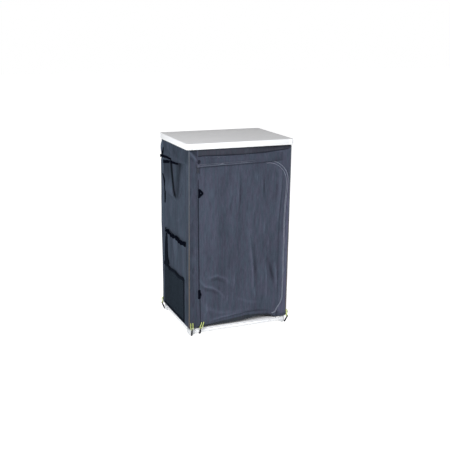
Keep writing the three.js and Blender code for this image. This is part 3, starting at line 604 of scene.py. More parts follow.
strip_creases = [
    ([(-252, 40), (-251, 500), (-252, 915)], 1.6, 4),
    ([(-237, 890), (-235, 700), (-232, 400), (-230, 250), (-224, 190), (-221, 60)], -3.2, 4),
    ([(234, 40), (231, 300), (229, 480), (232, 640), (236, 820), (234, 915)], -2.8, 4),
    ([(-284, 990), (-264, 968), (-248, 948), (-240, 930)], 5.2, 6),
    ([(-276, 962), (-258, 938)], -2.6, 6),
    ([(-248, 962), (-213, 966), (0, 961), (120, 965), (262, 978)], -2.4, 4),
    ([(246, 60), (250, 400), (249, 560)], 2.4, 5),
    ([(262, 740), (272, 722)], -2.2, 5),
    ([(264, 668), (276, 655)], -2.2, 5),
    ([(262, 560), (275, 575)], 2.0, 5),
    ([(262, 430), (276, 418)], -1.8, 5),
    ([(260, 300), (274, 318)], 1.8, 5),
    ([(228, 100), (226, 50)], -3.4, 5),
    ([(214, 96), (220, 60)], 2.6, 5),
]
strip_creases += crinkles(6, 10, -275, -248, 80, 900)


def front_relief(x, z):
    """How far the front cloth stands out of its plane, and its painted light and shade: paler on ridges,
    darker in valleys, in the shadow under the table's edge, on the left strip and at its top corner.
    """
    size = sizes()
    across = (x - door_left) / (door_right - door_left)
    up = (z - door_bottom) / (door_top - door_bottom)
    on_door = smooth(0, 0.05, across) * (1 - smooth(0.93, 1, across))
    hung = smooth(-0.02, 0.02, up) * (1 - smooth(0.9, 0.98, up))
    wave = 0.6 * np.sin(np.pi * (3.2 * across + 0.64 * up))
    wave += 0.3 * np.sin(np.pi * (7.4 * across - 0.95 * up))
    wave += 0.4 * (1 - smooth(0, 0.3, up)) * np.sin(np.pi * (4 * across + 3.2 * up))
    wave *= on_door * hung * smooth(0, 0.1, across) * (1 - smooth(0.88, 1, across))
    folds = creased(x, z, door_creases) * (on_door * hung)
    folds = creased(x, z, strip_creases, folds)
    drawn_in = (1 - smooth(-0.03, 0.01, up)) * on_door * 6 * MM
    near_edges = smooth(0, 0.02, front_half - np.abs(x)) * (1 - smooth(top_z - 0.03, top_z, z))
    fine = soft_noise(x, z, 14 * MM, 60 * MM, 3) + 0.5 * soft_noise(x, z, 7 * MM, 28 * MM, 4)
    broad = soft_noise(x, z, 46 * MM, 150 * MM, 5)
    wrinkles = near_edges * (fine * 0.6 + broad * 1.2)
    out = size.fold_depth * wave + folds + size.wrinkle_depth * wrinkles - drawn_in
    # Painted light and shade: paler on the ridges of the waves, folds and wrinkles, darker in their
    # valleys.
    full_fold = 3.4 * MM
    # Painted shadow under the table's edge, heavier towards the right.
    table_edge_shadow = 1.3 * smooth(0.974, 0.992, z) * smooth(-0.05, 0.2, x) + 0.8 * smooth(0.988, 0.996, z)
    # The left strip is painted darker, and darker still in a band at its top corner.
    left_strip = 1 - smooth(-0.246, -0.238, x)
    corner_band = left_strip * smooth(0, 6 * MM, z - 0.992 - 0.76 * (-0.285 - x))
    depth = 0.3 * wave + folds / full_fold + 0.3 * wrinkles - table_edge_shadow
    return out, depth - 0.5 * left_strip - 1.1 * corner_band


def front_out(x, z):
    return front_relief(x, z)[0]


def seam_height(x):
    """The height of the header's seam."""
    return MM * np.interp(x / MM, [-248, -213, 0, 120, 262], [962, 966, 961, 965, 978])


def front_shift(x, z):
    """How far the front cloth is shifted upwards: its hem and the door's edge hang unevenly."""
    hem = np.interp(
        x / MM,
        [-285, -208, -100, 8, 60, 105, 150, 190, 212, 224, 285],
        [0, 2, 2, 3, 8, 15.5, 15.5, 9, -5, -2, -2],
    )
    door = np.interp(
        x / MM,
        [-285, -221, -110, 1, 38, 120, 179, 216, 240, 285],
        [-14, -14, -4, 5, 11, 7, 0, -18, -10, -6],
    )
    up = np.clip((z - hem_z) / (door_bottom - hem_z), 0, 1)
    above = 1 - smooth(door_bottom, door_bottom + 0.055, z)
    return MM * (hem * (1 - up) + door * up) * above


def front_sway(x, z):
    """How far the cloth is pushed to the right, where the door's upper corner bulges."""
    level = bell(z - 0.795, 0.1)
    beside = smooth(0.15, 0.24, x) * (1 - smooth(0.262, front_half, x))
    return 10 * MM * level * beside


def front_place(x, z):
    return stacked(x + front_sway(x, z), -wall_y - front_out(x, z), z + front_shift(x, z))


def off_front(x, z, off):
    """Spots that stand off the front cloth."""
    spots = front_place(x, z)
    spots[:, 1] -= off
    return spots


# Making of meshes


def alone(piece):
    """Only this object is selected and active."""
    bpy.ops.object.select_all(action="DESELECT")
    piece.select_set(True)
    bpy.context.view_layer.objects.active = piece


def start_clear():
    if bpy.context.mode != "OBJECT":
        bpy.ops.object.mode_set(mode="OBJECT")
    bpy.ops.object.select_all(action="DESELECT")


def added(name, kind, **settings):
    """A primitive at its size and place."""
    start_clear()
    getattr(bpy.ops.mesh, f"primitive_{kind}_add")(**settings)
    piece = bpy.context.object
    piece.name = name
    return piece


def edited(piece, *steps):
    """Edit mode steps on all of a mesh."""
    alone(piece)
    bpy.ops.object.mode_set(mode="EDIT")
    bpy.ops.mesh.select_all(action="SELECT")
    for step in steps:
        step()
    bpy.ops.object.mode_set(mode="OBJECT")


def applied(piece, kind, **settings):
    """A modifier added and applied."""
    alone(piece)
    modifier = piece.modifiers.new(kind.title(), kind)
    for key, value in settings.items():
        setattr(modifier, key, value)
    bpy.ops.object.modifier_apply(modifier=modifier.name)


def rounded(piece, width, segments, degrees):
    """Edges sharper than the angle are rounded."""
    limit = math.radians(degrees)
    applied(piece, "BEVEL", width=width, segments=segments, limit_method="ANGLE", angle_limit=limit)


def repeated(piece, count, pitch):
    """A row of copies along the piece's own x."""
    offset = (pitch, 0, 0)
    absolute = {"use_relative_offset": False, "use_constant_offset": True}
    applied(piece, "ARRAY", count=count, constant_offset_displace=offset, **absolute)


def settled(piece):
    """The object's place goes into its mesh."""
    alone(piece)
    bpy.ops.object.transform_apply(location=True, rotation=True, scale=True)


def smoothed(piece, degrees=40):
    alone(piece)
    bpy.ops.object.shade_smooth_by_angle(angle=math.radians(degrees))


def read(items, key, size):
    """One value, or size values, of each item."""
    values = np.empty(len(items) * size, np.float32)
    items.foreach_get(key, values)
    return values.reshape(-1, size).astype(float)


def write(items, key, values):
    items.foreach_set(key, values.astype(np.float32).ravel())


def cloth_grid(name, columns, rows, place, flat, fold=None):
    """A grid of cloth. place and flat give each point's spot in space and on the flat cut, from u and v.

    fold gives each point's painted light and shade, kept in the fold attribute: below 0 darker, above 0
    paler.
    """
    darkest_painted_shade, brightest_painted_light = -2.9, 1.5
    piece = added(name, "grid", x_subdivisions=columns, y_subdivisions=rows, size=1)
    mesh = piece.data
    rest = np.empty(len(mesh.vertices) * 3, np.float32)
    mesh.vertices.foreach_get("co", rest)
    u, v = (rest[0::3] + 0.5).astype(float), (rest[1::3] + 0.5).astype(float)
    write(mesh.vertices, "co", place(u, v))
    corners = np.empty(len(mesh.loops), np.int32)
    mesh.loops.foreach_get("vertex_index", corners)
    layer = mesh.uv_layers[0] if mesh.uv_layers else mesh.uv_layers.new(name="cut")
    write(layer.data, "uv", flat(u, v)[corners])
    # The painted light and shade goes into the fold attribute.
    if fold is not None:
        depth = np.clip(fold(u, v), darkest_painted_shade, brightest_painted_light)
        write(mesh.attributes.new("fold", "FLOAT", "POINT").data, "value", depth)
    mesh.update()
    return piece


def flat_size(piece):
    """The flat cut's width, length and area, from the piece's own map."""
    cut = read(piece.data.uv_layers[0].data, "uv", 2)
    area = 0.0
    for face in piece.data.polygons:
        ring = cut[list(face.loop_indices)]
        after = np.roll(ring, -1, axis=0)
        area += abs(np.sum(ring[:, 0] * after[:, 1] - after[:, 0] * ring[:, 1])) / 2
    width, length = cut.max(0) - cut.min(0)
    return float(width), float(length), float(area)


def thickened(piece, thickness):
    applied(piece, "SOLIDIFY", thickness=thickness, offset=-1, use_even_offset=True)
    smoothed(piece, 50)
    return piece


def ready(piece, body, material, nodes=(), crumples=False):
    """A finished piece rides on its body, has its material and stands for its CAD nodes."""
    piece.data.materials.clear()
    for one in material if isinstance(material, list) else [material]:
        piece.data.materials.append(one)
    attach(piece, body)
    if nodes:
        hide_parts(*nodes)
    if crumples:
        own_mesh(piece)
    return piece


def sheet_ready(piece, body, material, slot, held, rests_on, nodes=(), crumples=True):
    """A sheet of cloth gets its thickness. The size of its flat cut is measured, and nothing uses it."""
    width, length, area = flat_size(piece)
    thickened(piece, sizes().cloth)
    ready(piece, body, material, nodes, crumples)
    return piece


def smooth_path(points, steps):
    """A smooth curve through points, as evenly spaced points."""
    knots = np.array(points, float)
    knots = np.concatenate([2 * knots[:1] - knots[1:2], knots, 2 * knots[-1:] - knots[-2:-1]])
    fine = []
    per_span = 24
    for index in range(1, len(knots) - 2):
        a, b, c, d = knots[index - 1 : index + 3]
        for t in np.arange(per_span) / per_span:
            curved = 2 * b + (c - a) * t + (2 * a - 5 * b + 4 * c - d) * t**2
            fine.append((curved + (3 * b - a - 3 * c + d) * t**3) / 2)
    fine.append(knots[-2])
    fine = np.array(fine)
    length = reach_along(steps_of(fine))
    wanted = np.linspace(0, length[-1], steps + 1)
    return stacked(*(np.interp(wanted, length, fine[:, axis]) for axis in range(3)))


def directions(path, closed=False):
    """Unit directions along a path."""
    if closed:
        along = np.roll(path[:-1], -1, axis=0) - np.roll(path[:-1], 1, axis=0)
        along = np.concatenate([along, along[:1]])
    else:
        along = np.gradient(path, axis=0)
    return along / np.linalg.norm(along, axis=1, keepdims=True)


def cord_tube(name, path, radius, sides=10, closed=False):
    """A round cord along a path, with rounded ends unless it is closed."""
    along = directions(path, closed)
    side = np.array((1.0, 0.0, 0.0))
    sideways = []
    for direction in along:
        side = side - direction * np.dot(side, direction)
        side = side / np.linalg.norm(side)
        sideways.append(side)
    sideways = np.array(sideways)
    if closed:
        sideways[-1] = sideways[0]
    upward = np.cross(along, sideways)
    rows = len(path) - 1
    length = reach_along(steps_of(path))
    girth = np.full(rows + 1, radius)
    if not closed:
        from_end = np.minimum(length, length[-1] - length)
        rounding = np.clip(from_end / radius, 0, 1)
        girth = radius * np.sqrt(np.clip(1 - (1 - rounding) ** 2, 0, 1))

    def place(u, v):
        row = np.rint(v * rows).astype(int)
        angle = 2 * np.pi * u
        ring = np.cos(angle)[:, None] * sideways[row] + np.sin(angle)[:, None] * upward[row]
        return path[row] + girth[row][:, None] * ring

    def flat(u, v):
        return stacked(u * 2 * np.pi * radius, np.interp(v * rows, np.arange(rows + 1), length))

    piece = cloth_grid(name, sides, rows, place, flat)
    edited(
        piece,
        lambda: bpy.ops.mesh.remove_doubles(threshold=radius * 0.01),
        lambda: bpy.ops.mesh.normals_make_consistent(inside=False),
    )
    smoothed(piece, 60)
    return piece


def strap(name, path, across, width, thickness, columns=4, crown=0.0):
    """A flat strap along a path. across gives the direction of its width at each point."""
    along = directions(path)
    across = np.broadcast_to(np.array(across, float), path.shape)
    across = across - along * np.sum(across * along, axis=1, keepdims=True)
    across = across / np.linalg.norm(across, axis=1, keepdims=True)
    outward = np.cross(across, along)
    rows = len(path) - 1
    length = reach_along(steps_of(path))
    widths = np.broadcast_to(np.array(width, float), len(path))

    def place(u, v):
        row = np.rint(v * rows).astype(int)
        rise = crown * (1 - (2 * u - 1) ** 2)
        return path[row] + across[row] * ((u - 0.5) * widths[row])[:, None] + outward[row] * rise[:, None]

    def flat(u, v):
        row = np.rint(v * rows).astype(int)
        return stacked(u * widths[row], length[row])

    piece = cloth_grid(name, columns, rows, place, flat)
    return thickened(piece, thickness)


def sewn_strap(name, path, across, width, thickness, finish, slot="dark_trim", body="base", **shape):
    """A strap that rides on its body, with its own copy of its mesh."""
    piece = strap(name, path, across, width, thickness, **shape)
    return ready(piece, body, finish, crumples=True)


def sewn_cord(name, path, radius, sides, finish, **shape):
    """A cord on the base, with its own copy of its mesh."""
    piece = cord_tube(name, path, radius, sides, **shape)
    return ready(piece, "base", finish, crumples=True)


def joined(name, pieces):
    """Several meshes made one."""
    bpy.ops.object.select_all(action="DESELECT")
    for piece in pieces:
        piece.select_set(True)
    bpy.context.view_layer.objects.active = pieces[0]
    bpy.ops.object.join()
    piece = bpy.context.object
    piece.name = name
    return piece


def dressed_copy(node, name, material, bevel, segments=2):
    """A copy of a CAD node, with its edges rounded and its round faces smooth."""
    start_clear()
    source = frame["nodes"][node]
    piece = bpy.data.objects.new(name, source.data.copy())
    bpy.context.scene.collection.objects.link(piece)
    alone(piece)
    if piece.data.has_custom_normals:
        bpy.ops.mesh.customdata_custom_splitnormals_clear()
    edited(
        piece,
        lambda: bpy.ops.mesh.remove_doubles(threshold=0.01 * MM),
        lambda: bpy.ops.mesh.dissolve_limited(angle_limit=math.radians(1)),
    )
    rounded(piece, bevel, segments, 42)
    smoothed(piece, 38)
    return ready(piece, source["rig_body"], material, [node])


def stitch_row(name, start, end, out, follow):
    """A row of stitches from start to end. follow moves the row's points onto the cloth."""
    size = sizes()
    start, end = Vector(start), Vector(end)
    along = end - start
    count = max(int(along.length / size.stitch_pitch), 1)
    piece = added(name, "uv_sphere", segments=6, ring_count=5, radius=1)
    piece.scale = (size.stitch_length / 2, size.stitch_radius, size.stitch_radius)
    settled(piece)
    repeated(piece, count, size.stitch_pitch)
    direction = along.normalized()
    outward = Vector(out)
    placed = Matrix((direction, outward.cross(direction), outward)).transposed().to_4x4()
    placed.translation = start + direction * size.stitch_pitch / 2
    piece.data.transform(placed)
    write(piece.data.vertices, "co", follow(read(piece.data.vertices, "co", 3)))
    piece.data.update()
    smoothed(piece, 60)
    return ready(piece, "base", webbing("thread"), crumples=True)


# The front: a lattice that the door and its surround share

corner_rows = 27
strip_cut_row = 9
row_counts = {"skirt": 6, "side": 180, "header": 28}
column_counts = {"left": 14, "door": 140, "right": 24}


def front_rows():
    """The height of each row and where the door's curved edge crosses it."""
    skirt = np.linspace(hem_z, door_bottom, row_counts["skirt"] + 1)[:-1]
    turn = np.linspace(0, np.pi / 2, corner_rows + 1)
    low = door_bottom + door_round * (1 - np.cos(turn))
    side = np.linspace(door_bottom + door_round, door_top - door_round, row_counts["side"] + 1)[1:-1]
    high = door_top - door_round * (1 - np.sin(turn))
    header = np.linspace(door_top, top_z, row_counts["header"] + 1)[1:]
    heights = np.concatenate([skirt, low, side, high, header])
    inner = door_right - door_round
    edges = np.concatenate(
        [
            np.full(len(skirt), inner),
            inner + door_round * np.sin(turn),
            np.full(len(side), door_right),
            inner + door_round * np.cos(turn),
            np.full(len(header), inner),
        ]
    )
    return heights, edges


def front_piece(name, columns, rows):
    """The part of the lattice between two columns and two rows."""
    heights, edges = front_rows()
    left, door, right = column_counts.values()
    stops = [0, left, left + door]

    def flat(u, v):
        column = columns[0] + np.rint(u * (columns[1] - columns[0]))
        row = rows[0] + np.rint(v * (rows[1] - rows[0])).astype(int)
        edge = edges[row]
        x = np.where(
            column <= stops[1],
            np.interp(column, stops[:2], [-front_half, door_left]),
            np.where(
                column <= stops[2],
                door_left + (edge - door_left) * (column - stops[1]) / door,
                edge + (front_half - edge) * (column - stops[2]) / right,
            ),
        )
        return stacked(x, heights[row])

    def place(u, v):
        return front_place(*flat(u, v).T)

    def fold(u, v):
        return front_relief(*flat(u, v).T)[1]

    return cloth_grid(name, columns[1] - columns[0], rows[1] - rows[0], place, flat, fold)


def without_faces(piece, gone):
    """The mesh without the faces whose middle, on the flat cut, is in gone."""
    mesh = piece.data
    middles = read(mesh.uv_layers[0].data, "uv", 2).reshape(-1, 4, 2).mean(axis=1)
    chosen = gone(middles[:, 0], middles[:, 1])
    bpy.context.tool_settings.mesh_select_mode = (False, False, True)
    alone(piece)
    bpy.ops.object.mode_set(mode="EDIT")
    bpy.ops.mesh.select_all(action="DESELECT")
    bpy.ops.object.mode_set(mode="OBJECT")
    mesh.polygons.foreach_set("select", chosen)
    bpy.ops.object.mode_set(mode="EDIT")
    bpy.ops.mesh.delete(type="FACE")
    bpy.ops.object.mode_set(mode="OBJECT")
    return piece


def in_door(x, z):
    inner = door_right - door_round
    low, high = door_bottom + door_round, door_top - door_round
    beside = np.maximum(x - inner, 0)
    over = np.where(z > high, z - high, np.where(z < low, low - z, 0))
    inside = (x > door_left) & (z > door_bottom) & (z < door_top) & (x < door_right)
    return inside & ((beside <= 0) | (over <= 0) | (np.hypot(beside, over) < door_round))


class CUPBOARD_OT_front_cloth(bpy.types.Operator):
    """The cover's front round the door, and the door"""

    bl_idname = "cupboard.front_cloth"
    bl_label = "Front cloth and door"

    def panel(self, name, columns, rows, finishes, body="base", nodes=(), round_door=False):
        piece = front_piece(name, columns, rows)
        if round_door:
            piece = without_faces(piece, in_door)
        hangs_from = ["cover_front"] if body == "door" else ["top_rail_front"]
        return sheet_ready(piece, body, finishes, "cover_front", "hung", hangs_from, nodes)

    def execute(self, context):
        left, door, right = column_counts.values()
        last_column = left + door + right
        skirt = row_counts["skirt"]
        cut = skirt + strip_cut_row
        side_top = skirt + corner_rows + row_counts["side"]
        door_row = side_top + corner_rows
        last_row = door_row + row_counts["header"]
        cloth, edge = woven_cloth("front_cloth"), woven_cloth("edge_cloth")
        self.panel("front_strip_left", (0, left), (0, last_row), cloth, nodes=["cover_front"])
        whole, finishes = (left, last_column), [cloth, woven_cloth("header_cloth")]
        piece = self.panel("front_header", whole, (side_top, last_row), finishes, round_door=True)
        # Faces above the seam get the header's darker, browner cloth: partly painted shade under the
        # table's overhang.
        for face in piece.data.polygons:
            if face.center.z > seam_height(face.center.x):
                face.material_index = 1
        # The strip right of the door has the paler edge cloth: painted light.
        self.panel("front_strip_right", (left + door, last_column), (cut, side_top), edge)
        finishes = [cloth, woven_cloth("skirt"), edge]
        piece = self.panel("front_threshold", whole, (0, cut), finishes, round_door=True)
        # Faces under the door, up to the end of the dark band, get the skirt's darker cloth: painted shade
        # under the door's hem. Faces right of the strip get the paler edge cloth: painted light.
        under_door_shade_end = 0.216
        strip_start = 0.245
        for face in piece.data.polygons:
            middle = face.center
            if middle.z < door_bottom + front_shift(middle.x, door_bottom):
                if door_left < middle.x < under_door_shade_end:
                    face.material_index = 1
            elif middle.x > strip_start:
                face.material_index = 2
        self.panel("door_cloth", (left, left + door), (skirt, door_row), cloth, "door", ["door"])
        self.seam_and_hinge_shade_strips()
        return {"FINISHED"}

    def seam_and_hinge_shade_strips(self):
        """The dark tape in the header's seam, partly painted shade of the seam's groove, and a dark strip
        of painted shade along the door's hinge.
        """
        thick = 0.5 * MM
        tape = woven_cloth("seam")
        # Header seam: a dark tape, wider in the middle, partly painted shade of the seam's groove.
        x = np.linspace(-0.236, 0.268, 120)
        path = off_front(x, seam_height(x), 0.5 * MM)
        width = MM * np.interp(x, [-0.236, -0.1, 0.02, 0.11, 0.268], [4, 5, 9, 7, 4])
        sewn_strap("header_seam", path, (0, 0, 1), width, thick, tape, "cover_front", columns=3)
        # Hinge: a dark strip of painted shade where the door's fold shades the hinge.
        z = np.linspace(0.845, 0.076, 130)
        x = np.interp(z, [0.076, 0.19, 0.25, 0.845], [-0.2215, -0.2235, -0.2295, -0.2355])
        path = off_front(x, z, 0.6 * MM)
        width = MM * np.interp(z, [0.076, 0.2, 0.26, 0.72, 0.845], [2, 3, 5.5, 5.5, 1.5])
        sewn_strap("hinge_shadow_strip", path, (1, 0, 0), width, thick, tape, "cover_front", "door", columns=3)


# Side and back walls


def belly(z):
    """How far a wall bellies out between the levels at which it is held."""
    levels = [hem_z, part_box("shelf_sling_lower")[0].z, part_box("shelf_sling_upper")[0].z, top_z]
    out = np.zeros(z.shape)
    for low, high in zip(levels[:-1], levels[1:]):
        share = np.clip((z - low) / (high - low), 0, 1)
        out = out + 3 * MM * np.sin(np.pi * share) ** 2
    return out


pocket_fields = {
    "upper": {"z": (0.690, 0.905), "y": (0.212, -0.150), "gathered": (0.148, -0.075)},
    "middle": {"z": (0.300, 0.508), "y": (0.160, -0.176)},
    "net": {"z": (0.052, 0.300), "y": (0.187, -0.146)},
}


def under_pockets(y, z):
    """1 where a pocket lies over the left wall, and 0 well away from them."""
    cover = np.zeros(y.shape)
    margin = 0.012
    for field in pocket_fields.values():
        low, high = field["z"]
        rear, fore = field["y"]
        beside = smooth(fore - margin, fore, y) * (1 - smooth(rear, rear + margin, y))
        level = smooth(low - margin, low, z) * (1 - smooth(high, high + margin, z))
        cover = np.maximum(cover, beside * level)
    return cover


left_creases = [
    ([(-212, 990), (-192, 940), (-186, 860)], 2.0, 7),
    ([(-166, 690), (-164, 400), (-166, 190)], 2.4, 6),
    ([(-190, 840), (-184, 700), (-190, 590)], 1.8, 6),
    ([(-196, 520), (-190, 380), (-197, 180)], 1.8, 6),
    ([(-110, 640), (-60, 600), (20, 574)], 1.4, 10),
    ([(150, 640), (80, 606), (40, 560)], 1.6, 10),
    ([(140, 985), (90, 950), (40, 936)], 2.4, 8),
    ([(60, 990), (20, 955), (-40, 940)], -2.0, 8),
    ([(203, 992), (204, 950), (203, 912)], 12, 10),
    ([(190, 640), (188, 500), (190, 330)], -2.5, 6),
]


def left_relief(y, z):
    """How far the left wall stands out of its plane, and its painted light and shade: paler on ridges,
    darker in valleys and in the bands along its top and its front and rear strips.
    """
    free = 1 - under_pockets(y, z)
    from_corner = wall_y - np.abs(y)
    held = smooth(0, 0.012, from_corner) * smooth(0, 0.02, z - hem_z)
    held = held * (1 - smooth(top_z - 0.02, top_z, z))
    broad = soft_noise(y, z, 60 * MM, 170 * MM, 11)
    fine = soft_noise(y, z, 18 * MM, 60 * MM, 12)
    folds = creased(y, z, left_creases)
    puff = MM * np.interp(z, [0.06, 0.2, 0.5, 0.88, 0.93], [1, 5, 10, 10, 1])
    puff = puff * bell(y - 0.206, 10 * MM) * smooth(0, 0.008, from_corner)
    out = (MM * (1.2 * broad + 0.8 * fine) + folds) * free * held + puff
    # Painted shade: the band along the top and the front and rear strips are darker.
    top_band = 0.7 * smooth(0.915, 0.935, z)
    front_strip = 0.4 * (1 - smooth(-0.16, -0.15, y)) * smooth(-0.207, -0.2, y)
    rear_strip = 0.8 * smooth(0.196, 0.208, y)
    shaded = top_band + front_strip + rear_strip
    full_fold = 5 * MM
    return out, 0.25 * broad + 0.3 * fine + folds * free / full_fold - shaded


def left_out(y, z):
    return left_relief(y, z)[0]


def plain_wall_out(across, z, half, seed):
    """How far the right or back wall stands out: its bellies and soft folds."""
    held = smooth(0, 0.05, half - np.abs(across))
    level = smooth(0, 0.02, z - hem_z) * (1 - smooth(top_z - 0.03, top_z, z))
    folds = 1.6 * MM * soft_noise(across, z, 70 * MM, 220 * MM, seed)
    folds = folds + 0.5 * MM * soft_noise(across, z, 16 * MM, 70 * MM, seed + 1)
    return held * (belly(z) + level * folds)


def wall_grid(name, columns, rows, half, spot, depth=None):
    """A wall between its corner edges, from hem to top. spot and depth work from across and z."""

    def flat(u, v):
        return stacked((u - 0.5) * 2 * half, hem_z + v * (top_z - hem_z))

    def place(u, v):
        return spot(*flat(u, v).T)

    def fold(u, v):
        return depth(*flat(u, v).T)

    return cloth_grid(name, columns, rows, place, flat, fold if depth else None)


class CUPBOARD_OT_walls(bpy.types.Operator):
    """The cover's left, right and back walls"""

    bl_idname = "cupboard.walls"
    bl_label = "Walls"

    def execute(self, context):
        half_y = wall_y - 2 * MM
        half_x = front_half
        side = woven_cloth("side_cloth")
        back = woven_cloth("front_cloth")

        def left(across, z):
            y = -across
            return stacked(-wall_x - left_out(y, z), y, z)

        def right(across, z):
            return stacked(wall_x + plain_wall_out(across, z, half_y, 21), across, z)

        def rear(across, z):
            return stacked(-across, wall_y + plain_wall_out(across, z, half_x, 31), z)

        def left_fold(across, z):
            return left_relief(-across, z)[1]

        piece = wall_grid("wall_left", 110, 200, half_y, left, left_fold)
        sheet_ready(piece, "base", side, "cover_side", "hung", ["top_rail_left"], ["cover_left"])
        piece = wall_grid("wall_right", 60, 120, half_y, right)
        sheet_ready(piece, "base", side, "cover_side", "hung", ["top_rail_right"], ["cover_right"])
        piece = wall_grid("wall_back", 80, 120, half_x, rear)
        sheet_ready(piece, "base", back, "cover_front", "hung", ["top_rail_rear"], ["cover_back"])
        return {"FINISHED"}


class CUPBOARD_OT_corner_piping(bpy.types.Operator):
    """The rolled edges down the cover's four corners"""

    bl_idname = "cupboard.corner_piping"
    bl_label = "Corner piping"

    def execute(self, context):
        radius = sizes().piping
        heights = np.linspace(hem_z, top_z, 120)
        for end_name, end in (("front", -1), ("rear", 1)):
            for side_name, side in (("left", -1), ("right", 1)):
                sway = 0.35 * MM * soft_noise(heights, side + 3 * end, 0.07, 1, 41)
                path = stacked(side * (front_half + sway), end * (wall_y - 1 * MM), heights)
                finish = corner_piping() if end < 0 else woven_cloth("side_cloth")
                sewn_cord(f"piping_{end_name}_{side_name}", path, radius, 12, finish)
        return {"FINISHED"}


# Flap, zip and ties


def flap_low(x):
    return MM * np.interp(x / MM, [-248, -227, -8, 140, 238], [909, 910, 913.5, 917, 919])


def flap_high(x):
    return MM * np.interp(x / MM, [-248, -222, 237], [956, 958, 965])


class CUPBOARD_OT_storm_flap(bpy.types.Operator):
    """The flap over the zip along the door's top"""

    bl_idname = "cupboard.storm_flap"
    bl_label = "Storm flap"

    def execute(self, context):
        low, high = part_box("storm_flap")
        left, right = low.x - 1 * MM, high.x
        reach = sizes().flap_stand_off
        cut_top, cut_height = 0.96, 56 * MM
        shares = np.array([0, 0.06, 0.2, 0.42, 0.64, 0.82, 0.94, 1.0])
        stands = np.array([0.16, 0.3, 0.52, 0.82, 0.97, 1.0, 0.99, 0.94])

        def flat(u, v):
            return stacked(left + u * (right - left), cut_top - (1 - v) * cut_height)

        def place(u, v):
            x = left + u * (right - left)
            down = 1 - v
            rise = np.interp(down, shares, stands)
            near_right = 1 - 0.75 * smooth(0.84, 1, u)
            wavy = 1 + 0.1 * soft_noise(x, down, 55 * MM, 1, 51)
            rolled = smooth(0, 0.02, u)
            out = reach * rise * near_right * wavy * (0.35 + 0.65 * rolled)
            out = np.maximum(out, 0.4 * MM) + 0.5 * MM * soft_noise(x, down, 18 * MM, 0.5, 52)
            base = np.maximum(front_out(x, flap_high(x)), 0) * (1 - down)
            z = flap_high(x) + (flap_low(x) - flap_high(x)) * down
            z = z + 0.6 * MM * soft_noise(x, down, 40 * MM, 3, 53)
            return stacked(x, -wall_y - out - base, z)

        # Painted shade: the flap's cloth darker than the cloth round it, unevenly.
        def fold(u, v):
            return 0.4 * soft_noise(u, v, 0.08, 0.6, 55) - 0.6

        piece = cloth_grid("storm_flap_cloth", 160, 24, place, flat, fold)
        cloth = woven_cloth("front_cloth")
        sheet_ready(piece, "base", cloth, "cover_front", "hung", ["cover_front"], ["storm_flap"])
        x = np.linspace(left + 5 * MM, right - 70 * MM, 110)
        rim = reach * (1.06 - 0.7 * smooth(0.6, 0.8, (x - left) / (right - left)))
        wavy = 0.5 * MM * soft_noise(x, 0, 30 * MM, 1, 54)
        path = stacked(x, -wall_y - rim - 0.6 * MM, flap_low(x) + 9.5 * MM + wavy)
        height = MM * np.interp(x, [left, left + 0.02, 0.1, 0.17], [6, 11, 10, 6])
        # Painted highlight: paler cloth on the flap's rolled rim and along its top fold.
        paler = (0.6 * MM, woven_cloth("flap_rim"), "cover_front")
        sewn_strap("storm_flap_rim", path, (0, 0, 1), height, *paler, columns=6, crown=2.2 * MM)
        x = np.linspace(-0.214, 0.13, 90)
        path = off_front(x, flap_high(x) - 3.5 * MM, 2.2 * MM)
        height = MM * np.interp(x, [-0.214, -0.19, 0.1, 0.13], [2, 5, 4.5, 2])
        sewn_strap("storm_flap_fold", path, (0, 0, 1), height, *paler, columns=4, crown=1 * MM)
        self.rolled_end(left)
        return {"FINISHED"}

    def rolled_end(self, left):
        """The flap's end is rolled up: a rim of paler cloth, a painted highlight, round a dark opening of
        painted shade.
        """
        angles = np.linspace(0, 2 * np.pi, 41)
        middle_x, middle_z = left + 12 * MM, 0.938
        half_wide, half_high = 7 * MM, 10 * MM
        lean = 0.25
        face_y = -wall_y - sizes().flap_stand_off
        x = middle_x + half_wide * np.sin(angles) + lean * half_high * np.cos(angles)
        path = stacked(x, face_y - 1.2 * MM, middle_z + half_high * np.cos(angles))
        sewn_cord("storm_flap_end_rim", path, 2 * MM, 10, woven_cloth("flap_rim"), closed=True)
        z = np.linspace(middle_z - half_high, middle_z + half_high, 14)
        share = np.sqrt(np.clip(1 - ((z - middle_z) / half_high) ** 2, 0.05, 1))
        path = stacked(middle_x + lean * (z - middle_z), face_y - 0.6 * MM, z)
        # Painted shade: a dark sheet inside the rolled end.
        dark = (0.4 * MM, woven_cloth("seam"), "cover_front")
        sewn_strap("storm_flap_end_shadow", path, (1, 0, 0), 2 * half_wide * share, *dark)


def door_path():
    """The door's edge from the top straight, round both corners to the start of the bottom."""
    turn_points, left_off = 40, 10
    inner = door_right - door_round
    low, high = door_bottom + door_round, door_top - door_round
    turn = np.linspace(0, np.pi / 2, turn_points)
    top = [(x, door_top) for x in np.linspace(inner - 0.012, inner, 3)[:-1]]
    upper = [(inner + door_round * math.sin(a), high + door_round * math.cos(a)) for a in turn]
    side = [(door_right, z) for z in np.linspace(high, low, 90)[1:-1]]
    round_low = turn[:-left_off]
    lower = [(inner + door_round * math.cos(a), low - door_round * math.sin(a)) for a in round_low]
    return np.array(top + upper + side + lower)


